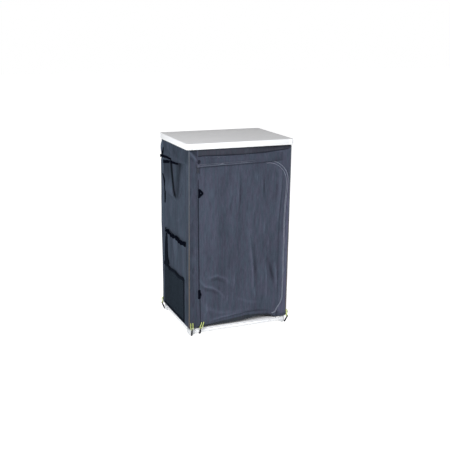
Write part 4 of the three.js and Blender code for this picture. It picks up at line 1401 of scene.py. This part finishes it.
class CUPBOARD_OT_zip(bpy.types.Operator):
    """The zip: its raised edge round the door, its tape, teeth, slider and pull"""

    bl_idname = "cupboard.zip"
    bl_label = "Zip"

    def flattened(self, piece, level):
        """The piece gets its own copy of its mesh."""
        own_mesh(piece)

    def execute(self, context):
        outline = door_path()
        x, z = outline[:, 0], outline[:, 1]
        spots = off_front(x, z, 0.5 * MM)
        tangent = directions(stacked(x, 0, z))
        across = stacked(tangent[:, 2], 0, -tangent[:, 0])
        width = MM * np.interp(z / MM, [70, 90, 200, 700, 790, 850, 917], [2.5, 4, 5, 6, 9, 13, 12])
        # The zip's edge strap has the paler edge cloth: painted light.
        flat_tape = (0.5 * MM, woven_cloth("edge_cloth"), "cover_front")
        sewn_strap("zip_edge", spots, -across, width, *flat_tape, columns=6, crown=1.2 * MM)
        for name, side, radius in (("outer", -1, 2.1 * MM), ("inner", 1, 1.7 * MM)):
            path = spots + side * across * (width / 2)[:, None]
            path[:, 1] -= 0.8 * MM
            sewn_cord(f"zip_edge_{name}", path, radius, 8, woven_cloth("zip_cord"))
        left, right = zip_low.x, zip_high.x
        middle = (zip_low.z + zip_high.z) / 2
        path = stacked(np.linspace(left, right, 60), -wall_y - 0.9 * MM, middle)
        piece = strap("zip_tape", path, (0, 0, 1), zip_high.z - zip_low.z, 0.5 * MM, columns=6)
        ready(piece, "zip", webbing("trim"), ["zip_top"])
        self.flattened(piece, middle)
        pitch = sizes().tooth_pitch
        piece = added(
            "zip_coil",
            "torus",
            major_segments=10,
            minor_segments=4,
            major_radius=1.0 * MM,
            minor_radius=0.3 * MM,
            location=(left + 2 * MM, -wall_y - 1.2 * MM, zip_low.z + 1.6 * MM),
            rotation=(0, math.pi / 2 - 0.25, 0),
        )
        piece.scale = (1, 0.6, 1)
        settled(piece)
        repeated(piece, int((right - left - 4 * MM) / pitch), pitch)
        smoothed(piece, 60)
        ready(piece, "zip", moulded_plastic("trim"))
        self.flattened(piece, middle)
        plastic = moulded_plastic("slider")
        dressed_copy("zip_slider", "zip_slider_body", plastic, 0.5 * MM, 3)
        dressed_copy("zip_pull", "zip_pull_tab", plastic, 0.25 * MM, 2)
        return {"FINISHED"}


class CUPBOARD_OT_ties(bpy.types.Operator):
    """The two black ties that hold the door when it is rolled up"""

    bl_idname = "cupboard.ties"
    bl_label = "Door ties"

    def execute(self, context):
        out = -wall_y - 1 * MM
        left = door_left + 1.5 * MM
        ties = {
            "upper": (0.752, 0.798, 10 * MM, 24 * MM),
            "lower": (0.206, 0.255, 14 * MM, 15 * MM),
        }
        for name, (low, high, width, reach) in ties.items():
            half = width / 2
            middle = (low + high) / 2
            rows = [
                (left + half, out, high),
                (left + half + MM, out - 0.4 * MM, middle),
                (left + half, out, low),
            ]
            path = smooth_path(rows, 24)
            patch = strap(f"door_tie_patch_{name}", path, (-1, 0, 0), width, 1 * MM, crown=0.3 * MM)
            rows = [
                (left + 4 * MM, out - 0.9 * MM, high - 3 * MM),
                (left + 0.5 * reach, out - 2.4 * MM, middle + 0.012),
                (left + reach - 3 * MM, out - 3.8 * MM, middle),
                (left + 0.5 * reach, out - 2.4 * MM, middle - 0.011),
                (left + 4 * MM, out - 0.9 * MM, low + 4 * MM),
            ]
            path = smooth_path(rows, 40)
            loop = strap(f"door_tie_loop_{name}", path, (-1, 0, 0.2), 10 * MM, 1.1 * MM)
            both = joined(f"door_tie_{name}", [patch, loop])
            ready(both, "door", webbing("trim"), crumples=True)
        return {"FINISHED"}


# Side pockets


def on_left(y, z, off):
    """A spot off the left wall."""
    return stacked(-wall_x - left_out(y, z) - off, y, z)


def left_path(rows, steps):
    """A smooth path through rows of y, z and how far off the left wall each stands."""
    return smooth_path(on_left(*np.transpose(rows)), steps)


def at_height(line, z):
    """A line of z and y, read at other heights."""
    return np.interp(z, *np.transpose(line))


class CUPBOARD_OT_pockets(bpy.types.Operator):
    """The left side's three pockets with their bound mouths and straps"""

    bl_idname = "cupboard.pockets"
    bl_label = "Side pockets"

    def upper(self):
        """The upper pocket: its mouth gapes, and a deep fold parts it into two lobes.

        Its painted shade: a nearly black band where the fold shows from the front left, sideways of a
        stand-off; the rear lobe darker under the mouth and paler on its lower bulge.
        """
        field = pocket_fields["upper"]
        low, high = field["z"]
        rear, fore = field["y"]
        low_rear, low_fore = field["gathered"]
        gape = sizes().mouth_stand_off
        fold = [(0.700, -0.014), (0.723, -0.012), (0.760, -0.003), (0.812, 0.012), (0.905, 0.040)]
        seen = [(0.700, -0.010), (0.723, 0.002), (0.760, 0.020), (0.812, 0.032), (0.905, 0.058)]
        dip = [(0.705, -0.040), (0.745, -0.055), (0.842, -0.080), (0.905, -0.092)]
        sideways = 2.4
        levels = [0.690, 0.702, 0.718, 0.738, 0.762, 0.790, 0.820, 0.850, 0.880, 0.905]
        rear_lobe = [0.03, 0.2, 0.62, 0.85, 0.8, 0.6, 0.5, 0.52, 0.6, 0.68]
        fore_lobe = [0.03, 0.12, 0.3, 0.45, 0.52, 0.55, 0.55, 0.55, 0.55, 0.55]
        rear_lobe_shading = [0.3, 0.5, 0.7, 0.7, 0.4, -0.2, -0.9, -1.2, -1.0, -1.2]
        fore_lobe_shading = [0.2, 0.1, 0, 0, 0, 0, -0.1, -0.2, -0.4, -0.8]

        def mouth_height(y):
            across = [-0.150, -0.075, 0, 0.066, 0.150, 0.205]
            return np.interp(y, across, [0.916, 0.911, 0.906, 0.899, 0.885, 0.880])

        def stand_off(u, y, z):
            from_fold = y - at_height(fold, z)
            behind = smooth(-4 * MM, 4 * MM, from_fold)
            lobes = np.interp(z, levels, fore_lobe)
            lobes = lobes + (np.interp(z, levels, rear_lobe) - lobes) * behind
            deep = smooth(0.698, 0.722, z)
            lobes = lobes * (1 - 0.96 * deep * bell(from_fold, 7 * MM))
            lobes = lobes * (1 - 0.55 * deep * bell(y - at_height(dip, z), 18 * MM))
            lobes = lobes * (0.2 + 0.8 * smooth(fore + 0.01, fore + 0.075, y))
            sides = np.sin(np.pi * np.clip(u, 0, 1)) ** 0.35
            pleats = 0.8 * MM * soft_noise(y, z, 16 * MM, 70 * MM, 66) * smooth(0, 0.1, u)
            return 0.6 * MM + sides * (gape * lobes + np.maximum(pleats, -0.4 * MM))

        def at(u, v):
            level = low + (0.9 - low) * v
            rear_edge = np.interp(level, [low, 0.755, 0.785, 0.812], [low_rear, low_rear, 0.150, 0.182])
            fore_edge = low_fore + (fore - low_fore) * smooth(0, 0.85, v)
            y = rear_edge + (fore_edge - rear_edge) * u
            return y, low + (mouth_height(y) - low) * v

        def spot(u, v):
            y, z = at(u, v)
            return on_left(y, z, stand_off(u, y, z))

        # Painted light and shade: the rear lobe paler on its lower bulge and darker under the mouth, the
        # fore lobe darker towards the mouth.
        def depth(u, v):
            y, z = at(u, v)
            past = y + sideways * stand_off(u, y, z) - at_height(seen, z)
            tone = np.interp(z, levels, fore_lobe_shading)
            tone = tone + (np.interp(z, levels, rear_lobe_shading) - tone) * smooth(-6 * MM, 2 * MM, past)
            deep = smooth(0.698, 0.735, z)
            # Painted shade: a nearly black band where the fold shows, and a darker band along the dip.
            tone = tone - 4.2 * deep * bell(past, 16 * MM)
            tone = tone - 1.7 * deep * bell(y - at_height(dip, z), 30 * MM)
            return tone + 0.3 * soft_noise(y, z, 16 * MM, 60 * MM, 66)

        def flat(u, v):
            full = 1.1 * (rear - fore)
            return stacked((u - 0.5) * full, low + (high - low) * v)

        piece = cloth_grid("pocket_upper_cloth", 160, 100, spot, flat, depth)
        cloth = woven_cloth("side_cloth")
        sheet_ready(piece, "base", cloth, "cover_side", "gathered", ["cover_left"], ["pocket_upper"])
        trim = webbing("trim")
        share = np.linspace(0.0, 0.79, 110)
        mouth = spot(share, share * 0 + 1)
        mouth[:, 0] -= 1.6 * MM
        mouth[:, 2] -= 4 * MM
        width = MM * np.interp(share, [0, 0.15, 0.5, 0.79], [18, 17, 14, 10])
        sewn_strap("pocket_upper_binding", mouth, (0, 0, 1), width, 1 * MM, trim, crown=1.2 * MM)
        rows = [(0.214, 0.902, 0.011), (0.190, 0.907, 0.013), (0.130, 0.911, 0.009), (0.058, 0.908, 0.002)]
        path = left_path(rows, 60)
        width = MM * np.linspace(16, 10, len(path))
        sewn_strap("pocket_upper_strap", path, (0, 0, 1), width, 0.9 * MM, trim, crown=1 * MM)
        path = left_path([(0.188, 0.952, 0.002), (0.189, 0.932, 0.005), (0.189, 0.912, 0.012)], 24)
        sewn_strap("pocket_upper_hanger", path, (0, -1, 0), 11 * MM, 0.9 * MM, trim, crown=0.5 * MM)
        # A black binding on the upper pocket's rear edge, widened as painted shade where the edge shades
        # the wall beside it.
        spots = [(0.196, 0.806), (0.188, 0.788), (0.173, 0.762), (0.166, 0.720), (0.165, 0.648)]
        path = left_path([(y, z, 2.5 * MM) for y, z in spots], 60)
        width = MM * np.interp(path[:, 2], [0.648, 0.70, 0.755, 0.785, 0.806], [15, 17, 22, 20, 8])
        sewn_strap("pocket_upper_rear_edge", path, (0, 1, 0), width, 1 * MM, trim, crown=1 * MM)

    def flat_pocket(self, name, node, material, gape):
        """A pocket that lies nearly flat, and the function that gives its spots."""
        field = pocket_fields[name]
        low, high = field["z"]
        rear, fore = field["y"]

        def spot(u, v):
            y = rear + (fore - rear) * u
            z = low + (high - low) * v
            sides = np.sin(np.pi * np.clip(u, 0, 1)) ** 0.5
            wavy = 1 + 0.4 * np.sin(np.pi * (5 * u + 0.4))
            out = gape * sides * (0.25 + 0.75 * v**1.5) * wavy
            out = out * (1 - 0.9 * (1 - smooth(0, 0.12, v)))
            fine = 0.6 * MM * soft_noise(y, z, 20 * MM, 60 * MM, 61) * sides
            sag = 2.5 * MM * v * np.sin(np.pi * 4.5 * u) * sides
            return on_left(y, z + sag * smooth(0.9, 1, v), 1.3 * MM + out + fine)

        def flat(u, v):
            return stacked((u - 0.5) * (rear - fore), low + (high - low) * v)

        # Painted light and shade that follows the pocket's waves and bumps.
        def depth(u, v):
            y = rear + (fore - rear) * u
            z = low + (high - low) * v
            return 0.5 * soft_noise(y, z, 20 * MM, 90 * MM, 61) + 0.4 * np.sin(np.pi * (5 * u - 0.1)) * v

        piece = cloth_grid(f"pocket_{name}_cloth", 80, 60, spot, flat, depth)
        slot = "pocket_mesh" if name == "net" else "cover_side"
        sheet_ready(piece, "base", material, slot, "hung", ["cover_left"], [node])
        return spot

    def bound_edge(self, name, spot, height, finish, bumps, at=1.0):
        """A binding along a pocket's edge. bumps is its gathers' depth, as a share of its height."""
        share = np.linspace(0, 1, 130)
        mouth = spot(share, share * 0 + at)
        uneven = soft_noise(share, 0, 0.045, 1, 67)
        mouth[:, 0] -= 3 * MM + np.maximum(bumps * height * 0.3 * uneven, 0)
        mouth[:, 2] -= height / 2 - 1 * MM
        heights = height * (1 + bumps * soft_noise(share, 0, 0.06, 1, 68))
        crown = 0.1 * height
        sewn_strap(f"{name}_binding", mouth, (0, 0, 1), heights, 1.1 * MM, finish, columns=6, crown=crown)

    def execute(self, context):
        self.upper()
        trim, dark = webbing("trim"), woven_cloth("gusset")
        spot = self.flat_pocket("middle", "pocket_middle", woven_cloth("side_cloth"), 8 * MM)
        self.bound_edge("pocket_middle", spot, 2 * sizes().binding, trim, 0.3)
        # The middle pocket's dark gusset widens downwards: partly painted shade beside the pocket's rear
        # edge.
        spots = [(0.127, 0.486), (0.134, 0.420), (0.135, 0.350), (0.124, 0.304)]
        path = left_path([(y, z, 9 * MM) for y, z in spots], 50)
        width = MM * np.interp(path[:, 2], [0.304, 0.35, 0.42, 0.486], [72, 48, 38, 22])
        folded = {"columns": 8, "crown": 1.5 * MM}
        sewn_strap("pocket_middle_gusset", path, (0, 1, 0), width, 0.8 * MM, dark, **folded)
        spot = self.flat_pocket("net", "pocket_mesh", pocket_net(), 6 * MM)
        self.bound_edge("pocket_net", spot, 18 * MM, dark, 0.15, at=1.02)
        self.bound_edge("pocket_net_hem", spot, 9 * MM, dark, 0.2, at=0.045)
        share = np.linspace(0.0, 1.0, 60)
        edge = spot(share * 0 + 0.99, share)
        edge[:, 0] -= 2 * MM
        sewn_strap("pocket_net_front_edge", edge, (0, -1, 0), 9 * MM, 1 * MM, dark, crown=0.5 * MM)
        return {"FINISHED"}


# Frame, boards and table top


class CUPBOARD_OT_rails(bpy.types.Operator):
    """The round rails of the base and top frames"""

    bl_idname = "cupboard.rails"
    bl_label = "Rails"

    def execute(self, context):
        for level in ("base", "top"):
            for place in ("front", "rear", "left", "right"):
                node = f"{level}_rail_{place}"
                low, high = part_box(node)
                extent = high - low
                along_x = extent.x > extent.y
                length = max(extent.x, extent.y)
                turn = (0, math.pi / 2, 0) if along_x else (math.pi / 2, 0, 0)
                piece = added(
                    f"{node}_tube",
                    "cylinder",
                    vertices=48,
                    radius=extent.z / 2,
                    depth=length,
                    end_fill_type="NOTHING",
                    location=(low + high) / 2,
                    rotation=turn,
                )
                settled(piece)
                applied(piece, "SOLIDIFY", thickness=1.5 * MM, offset=-1)
                rounded(piece, 0.3 * MM, 2, 50)
                smoothed(piece, 40)
                metal = drawn_tube("X" if along_x else "Y")
                ready(piece, frame["nodes"][node]["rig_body"], metal, [node])
        return {"FINISHED"}


class CUPBOARD_OT_blocks(bpy.types.Operator):
    """The plastic corner blocks of the base and top frames"""

    bl_idname = "cupboard.blocks"
    bl_label = "Corner blocks"

    def execute(self, context):
        for node in frame["nodes"]:
            if "_corner_" in node:
                dressed_copy(node, f"{node}_block", moulded_plastic("block"), 1.1 * MM, 3)
        return {"FINISHED"}


class CUPBOARD_OT_legs(bpy.types.Operator):
    """The legs in their two halves"""

    bl_idname = "cupboard.legs"
    bl_label = "Legs"

    def execute(self, context):
        for node in frame["nodes"]:
            if node.startswith("leg_"):
                dressed_copy(node, f"{node}_tube", drawn_tube("Z"), 0.5 * MM)
        return {"FINISHED"}


class CUPBOARD_OT_boards(bpy.types.Operator):
    """The base board and the shelf boards"""

    bl_idname = "cupboard.boards"
    bl_label = "Boards"

    def execute(self, context):
        for node in ("base_board", "shelf_board_lower", "shelf_board_upper"):
            dressed_copy(node, f"{node}_panel", laminate("board"), 0.6 * MM)
        return {"FINISHED"}


class CUPBOARD_OT_slings(bpy.types.Operator):
    """The fabric slings that the shelf boards lie in"""

    bl_idname = "cupboard.slings"
    bl_label = "Shelf slings"

    def execute(self, context):
        for level in ("lower", "upper"):
            low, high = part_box(f"shelf_sling_{level}")
            lip = high.z - low.z
            bend = 2 * MM
            rows = [
                (low.y, high.z),
                (low.y, low.z + bend),
                (low.y + bend, low.z),
                (high.y - bend, low.z),
                (high.y, low.z + bend),
                (high.y, high.z),
            ]
            profile = np.array(rows)
            length = reach_along(steps_of(profile))
            total = length[-1]

            def flat(u, v):
                return stacked((u - 0.5) * (high.x - low.x), v * total)

            def place(u, v):
                at = v * total
                y = np.interp(at, length, profile[:, 0])
                z = np.interp(at, length, profile[:, 1])
                x = high.x + (low.x - high.x) * u
                in_lip = smooth(low.z + 0.004, low.z + lip, z)
                wavy = 1.2 * MM * in_lip * soft_noise(x, 1, 80 * MM, 1, 71)
                return stacked(x, y + wavy, z + wavy * 0.6)

            piece = cloth_grid(f"shelf_sling_{level}_cloth", 60, 80, place, flat)
            held = ("cover_side", "stretched", ["cover_left", "cover_right"])
            node, cloth = f"shelf_sling_{level}", woven_cloth("side_cloth")
            sheet_ready(piece, f"shelf_{level}", cloth, *held, [node], crumples=False)
        return {"FINISHED"}


class CUPBOARD_OT_table(bpy.types.Operator):
    """The table top with its edge profiles and corner caps"""

    bl_idname = "cupboard.table"
    bl_label = "Table top"

    def execute(self, context):
        dressed_copy("table_panel", "table_panel_laminate", laminate("panel"), 0.4 * MM)
        for place in ("front", "rear", "left", "right"):
            node = f"table_edge_{place}"
            dressed_copy(node, f"{node}_profile", satin_profile(), 0.5 * MM)
        for node in frame["nodes"]:
            if node.startswith("table_cap_"):
                dressed_copy(node, f"{node}_moulding", moulded_plastic("cap"), 0.7 * MM, 3)
        return {"FINISHED"}


# Hooks and elastic loops: each stands at its node's place, turned to face outwards

block_x = wall_x - 2.3 * MM
block_y = wall_y - 2.3 * MM
block_round = 12 * MM
corner_share = 1 - math.sqrt(0.5)
hook_radius = 4.2 * MM
ring_radius = 3.8 * MM
ring_wire = 2.3 * MM
ring_reach = ring_radius + ring_wire
ring_z = hem_z - seam_gap - ring_reach
elastic_reach = 38 * MM
elastic_half = 6 * MM
elastic_radius = 2.1 * MM
corner_bow = 10 * MM
rail_clearance = 2.7 * MM


def hook_spots():
    """Each hook's place, turn, what it catches and how far its loop stands out and slants."""
    diagonal_x = block_x - block_round * corner_share
    diagonal_y = block_y - block_round * corner_share
    rail_low, rail_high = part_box("base_rail_front")
    rail_radius = (rail_high.z - rail_low.z) / 2
    rail_z = (rail_high.z + rail_low.z) / 2
    face_out = wall_y - block_y + seam_gap + elastic_radius
    corner_out = (wall_x - diagonal_x) / math.sqrt(0.5) + seam_gap + elastic_radius
    turn = math.pi / 4
    foot = 9.5 * MM
    door_hook_in = 15 * MM
    door_loop_out = 6.5 * MM
    return {
        "front_left": (-(block_x - block_round), -block_y, 0, 0, foot, face_out, 0),
        "front_right": (diagonal_x, -diagonal_y, turn, 0, foot, corner_out, 0),
        "rear_left": (-diagonal_x, diagonal_y, -3 * turn, 0, foot, corner_out, 0),
        "rear_right": (diagonal_x, diagonal_y, 3 * turn, 0, foot, corner_out, 0),
        "front_door": (
            door_left + door_hook_in,
            rail_low.y,
            0,
            rail_radius,
            rail_z,
            face_out + door_loop_out,
            2 * elastic_half,
        ),
    }


def turned(points, x, y, turn):
    """Points of a hook's own plane put in place."""
    points = np.array(points, float)
    cos, sin = math.cos(turn), math.sin(turn)
    px = points[:, 0] * cos - points[:, 1] * sin + x
    py = points[:, 0] * sin + points[:, 1] * cos + y
    return stacked(px, py, points[:, 2])


class CUPBOARD_OT_hooks(bpy.types.Operator):
    """The hooks with their rings, and the elastic loops"""

    bl_idname = "cupboard.hooks"
    bl_label = "Hooks and elastic loops"

    def execute(self, context):
        for name, (x, y, turn, catch, catch_z, out, slant) in hook_spots().items():
            bow = corner_bow if turn else 0
            wall = rail_clearance if catch > 0 else bow
            ring_y = -seam_gap - ring_reach - wall
            reach = catch + seam_gap + hook_radius
            points = [(0, ring_y, ring_z - ring_radius), (0, catch - reach, catch_z)]
            for share in (0.25, 0.5, 0.75, 1.0):
                angle = share * math.pi / 2
                points.append((0, catch - reach * math.cos(angle), catch_z - reach * math.sin(angle)))
            low = points[-1]
            points.append((0, low[1] + 2 * MM + 0.25 * catch, low[2]))
            path = turned(smooth_path(points, 40), x, y, turn)
            shank = cord_tube(f"hook_{name}_shank", path, hook_radius, 12)
            angles = np.linspace(0, 2 * np.pi, 33)
            ring = (ring_y + ring_radius * np.sin(angles), ring_z + ring_radius * np.cos(angles))
            path = turned(stacked(0, *ring), x, y, turn)
            eye = cord_tube(f"hook_{name}_eye", path, ring_wire, 10, closed=True)
            both = joined(f"hook_{name}_moulding", [shank, eye])
            ready(both, "base", moulded_plastic("trim"), [f"hook_{name}"])
            rows = [
                (elastic_half, -out, 1.0),
                (elastic_half, -out - 0.5 * bow, 0.6),
                (elastic_half, -out + (ring_y + out) * 0.2, 0.25),
                (1.5 * MM, ring_y, 0.0),
            ]
            left, right = [
                [
                    (side * half + slant * share, stands, ring_z + elastic_reach * share)
                    for half, stands, share in rows
                ]
                for side in (-1, 1)
            ]
            path = turned(smooth_path(left + right[::-1], 70), x, y, turn)
            piece = cord_tube(f"elastic_{name}_braid", path, elastic_radius, 10)
            ready(piece, "base", braid("elastic"), [f"elastic_{name}"])
        return {"FINISHED"}


class CUPBOARD_OT_stitching(bpy.types.Operator):
    """Rows of stitches along the seams"""

    bl_idname = "cupboard.stitching"
    bl_label = "Stitching"

    def execute(self, context):
        def on_front(spots):
            return off_front(spots[:, 0], spots[:, 2], -wall_y - spots[:, 1])

        def on_side(spots):
            return on_left(spots[:, 1], spots[:, 2], -wall_x - spots[:, 0])

        above_hem = hem_z + 4 * MM
        hem_row = hem_z + 6 * MM
        corner_row = -wall_y + 9 * MM
        front = {
            "hinge_2465": ((-0.2465, above_hem), (-0.2465, 0.954)),
            "hinge_2410": ((-0.2410, above_hem), (-0.2410, 0.954)),
            "right": ((0.243, above_hem), (0.243, 0.965)),
            "header": ((-0.262, 0.972), (0.278, 0.972)),
        }
        side = {
            "hem_left": ((wall_y - 8 * MM, hem_row), (-wall_y + 8 * MM, hem_row)),
            "corner_left": ((corner_row, hem_row), (corner_row, top_z - 5 * MM)),
        }
        for name, ends in front.items():
            start, end = [(x, -wall_y, z) for x, z in ends]
            stitch_row(f"stitches_{name}", start, end, (0, -1, 0), on_front)
        for name, ends in side.items():
            start, end = [(-wall_x, y, z) for y, z in ends]
            stitch_row(f"stitches_{name}", start, end, (-1, 0, 0), on_side)
        return {"FINISHED"}


# Stage


class CUPBOARD_OT_camera(bpy.types.Operator):
    """The camera at the photograph's viewing angle"""

    bl_idname = "cupboard.camera"
    bl_label = "Camera"

    def execute(self, context):
        stage = context.scene.cupboard_stage
        yaw, pitch, roll = stage.camera_yaw, stage.camera_pitch, stage.camera_roll
        flat = math.cos(pitch)
        forward = Vector((-math.sin(yaw) * flat, math.cos(yaw) * flat, -math.sin(pitch)))
        right = Vector((math.cos(yaw), math.sin(yaw), 0))
        up = right.cross(forward)
        rolled_right = right * math.cos(roll) + up * math.sin(roll)
        rolled_up = up * math.cos(roll) - right * math.sin(roll)
        data = bpy.data.cameras.new("photo_camera")
        data.sensor_width = 36
        data.lens = stage.focal_share * data.sensor_width
        camera = bpy.data.objects.new("photo_camera", data)
        context.scene.collection.objects.link(camera)
        matrix = Matrix((rolled_right, rolled_up, -forward)).transposed().to_4x4()
        matrix.translation = stage.camera_place
        camera.matrix_world = matrix
        context.scene.camera = camera
        return {"FINISHED"}


class CUPBOARD_OT_stage(bpy.types.Operator):
    """The floor, the lamps and the white surroundings"""

    bl_idname = "cupboard.stage"
    bl_label = "Stage"

    def floor_finish(self, colour, sky):
        """A pale floor that keeps the shadow and is white to the camera."""
        white_level = 1.03
        made = Finish("pale_floor", colour, 0.9)
        made.put((1.0, 1.0, 1.0), made.shader.inputs["Emission Color"])
        glow = made.math("MULTIPLY", made.seen_directly(), white_level - colour[0] * sky)
        made.put(glow, made.shader.inputs["Emission Strength"])
        return made.material

    def lamp(self, context, name, place, power, size):
        data = bpy.data.lights.new(name, "AREA")
        data.energy = power
        data.size = size
        lamp = bpy.data.objects.new(name, data)
        context.scene.collection.objects.link(lamp)
        lamp.location = place
        middle_of_cupboard = Vector((0, 0, 0.5))
        towards = middle_of_cupboard - lamp.location
        lamp.rotation_euler = towards.to_track_quat("-Z", "Y").to_euler()

    def world(self, strength):
        world = bpy.data.worlds.new("white_surroundings")
        bpy.context.scene.world = world
        world.use_nodes = True
        made = Nodes(world.node_tree)
        background = made.tree.nodes["Background"]
        made.put((1.0, 1.0, 1.0), background.inputs["Color"])
        made.put(made.spread(made.seen_directly(), to_low=strength), background.inputs["Strength"])

    def execute(self, context):
        stage = context.scene.cupboard_stage
        floor_width = 40
        floor = added("floor", "grid", x_subdivisions=2, y_subdivisions=2, size=floor_width)
        floor.data.materials.append(self.floor_finish(tuple(stage.floor), stage.sky))
        key_place, key_width = (-3.9, -2.6, 2.7), 1.2
        fill_place, fill_width = (1.6, -4.2, 2.2), 2.0
        self.lamp(context, "key_lamp", key_place, stage.key_power, key_width)
        self.lamp(context, "fill_lamp", fill_place, stage.fill_power, fill_width)
        self.world(stage.sky)
        context.scene.view_settings.view_transform = "Standard"
        return {"FINISHED"}


class CUPBOARD_PT_panel(bpy.types.Panel):
    """Sizes, colours and pieces of the cupboard"""

    bl_idname = "CUPBOARD_PT_panel"
    bl_label = "Camping cupboard"
    bl_space_type = "VIEW_3D"
    bl_region_type = "UI"
    bl_category = "Cupboard"

    def draw(self, context):
        layout = self.layout
        for group in ("cupboard_sizes", "cupboard_colours", "cupboard_stage"):
            settings = getattr(context.scene, group)
            column = layout.column(align=True)
            for name in settings.__annotations__:
                column.prop(settings, name)
        column = layout.column(align=True)
        for operator in operators:
            column.operator(operator.bl_idname)


operators = (
    CUPBOARD_OT_camera,
    CUPBOARD_OT_stage,
    CUPBOARD_OT_rails,
    CUPBOARD_OT_blocks,
    CUPBOARD_OT_legs,
    CUPBOARD_OT_boards,
    CUPBOARD_OT_table,
    CUPBOARD_OT_slings,
    CUPBOARD_OT_front_cloth,
    CUPBOARD_OT_walls,
    CUPBOARD_OT_corner_piping,
    CUPBOARD_OT_storm_flap,
    CUPBOARD_OT_zip,
    CUPBOARD_OT_ties,
    CUPBOARD_OT_pockets,
    CUPBOARD_OT_hooks,
    CUPBOARD_OT_stitching,
)
groups = (CupboardSizes, CupboardColours, StageSettings)


def register():
    for one in (*groups, *operators, CUPBOARD_PT_panel):
        bpy.utils.register_class(one)
    bpy.types.Scene.cupboard_sizes = bpy.props.PointerProperty(type=CupboardSizes)
    bpy.types.Scene.cupboard_colours = bpy.props.PointerProperty(type=CupboardColours)
    bpy.types.Scene.cupboard_stage = bpy.props.PointerProperty(type=StageSettings)


def unregister():
    del bpy.types.Scene.cupboard_stage
    del bpy.types.Scene.cupboard_colours
    del bpy.types.Scene.cupboard_sizes
    for one in reversed((*groups, *operators, CUPBOARD_PT_panel)):
        bpy.utils.unregister_class(one)


def main():
    register()
    for operator in operators:
        group, name = operator.bl_idname.split(".")
        getattr(getattr(bpy.ops, group), name)()


if __name__ == "__main__":
    main()
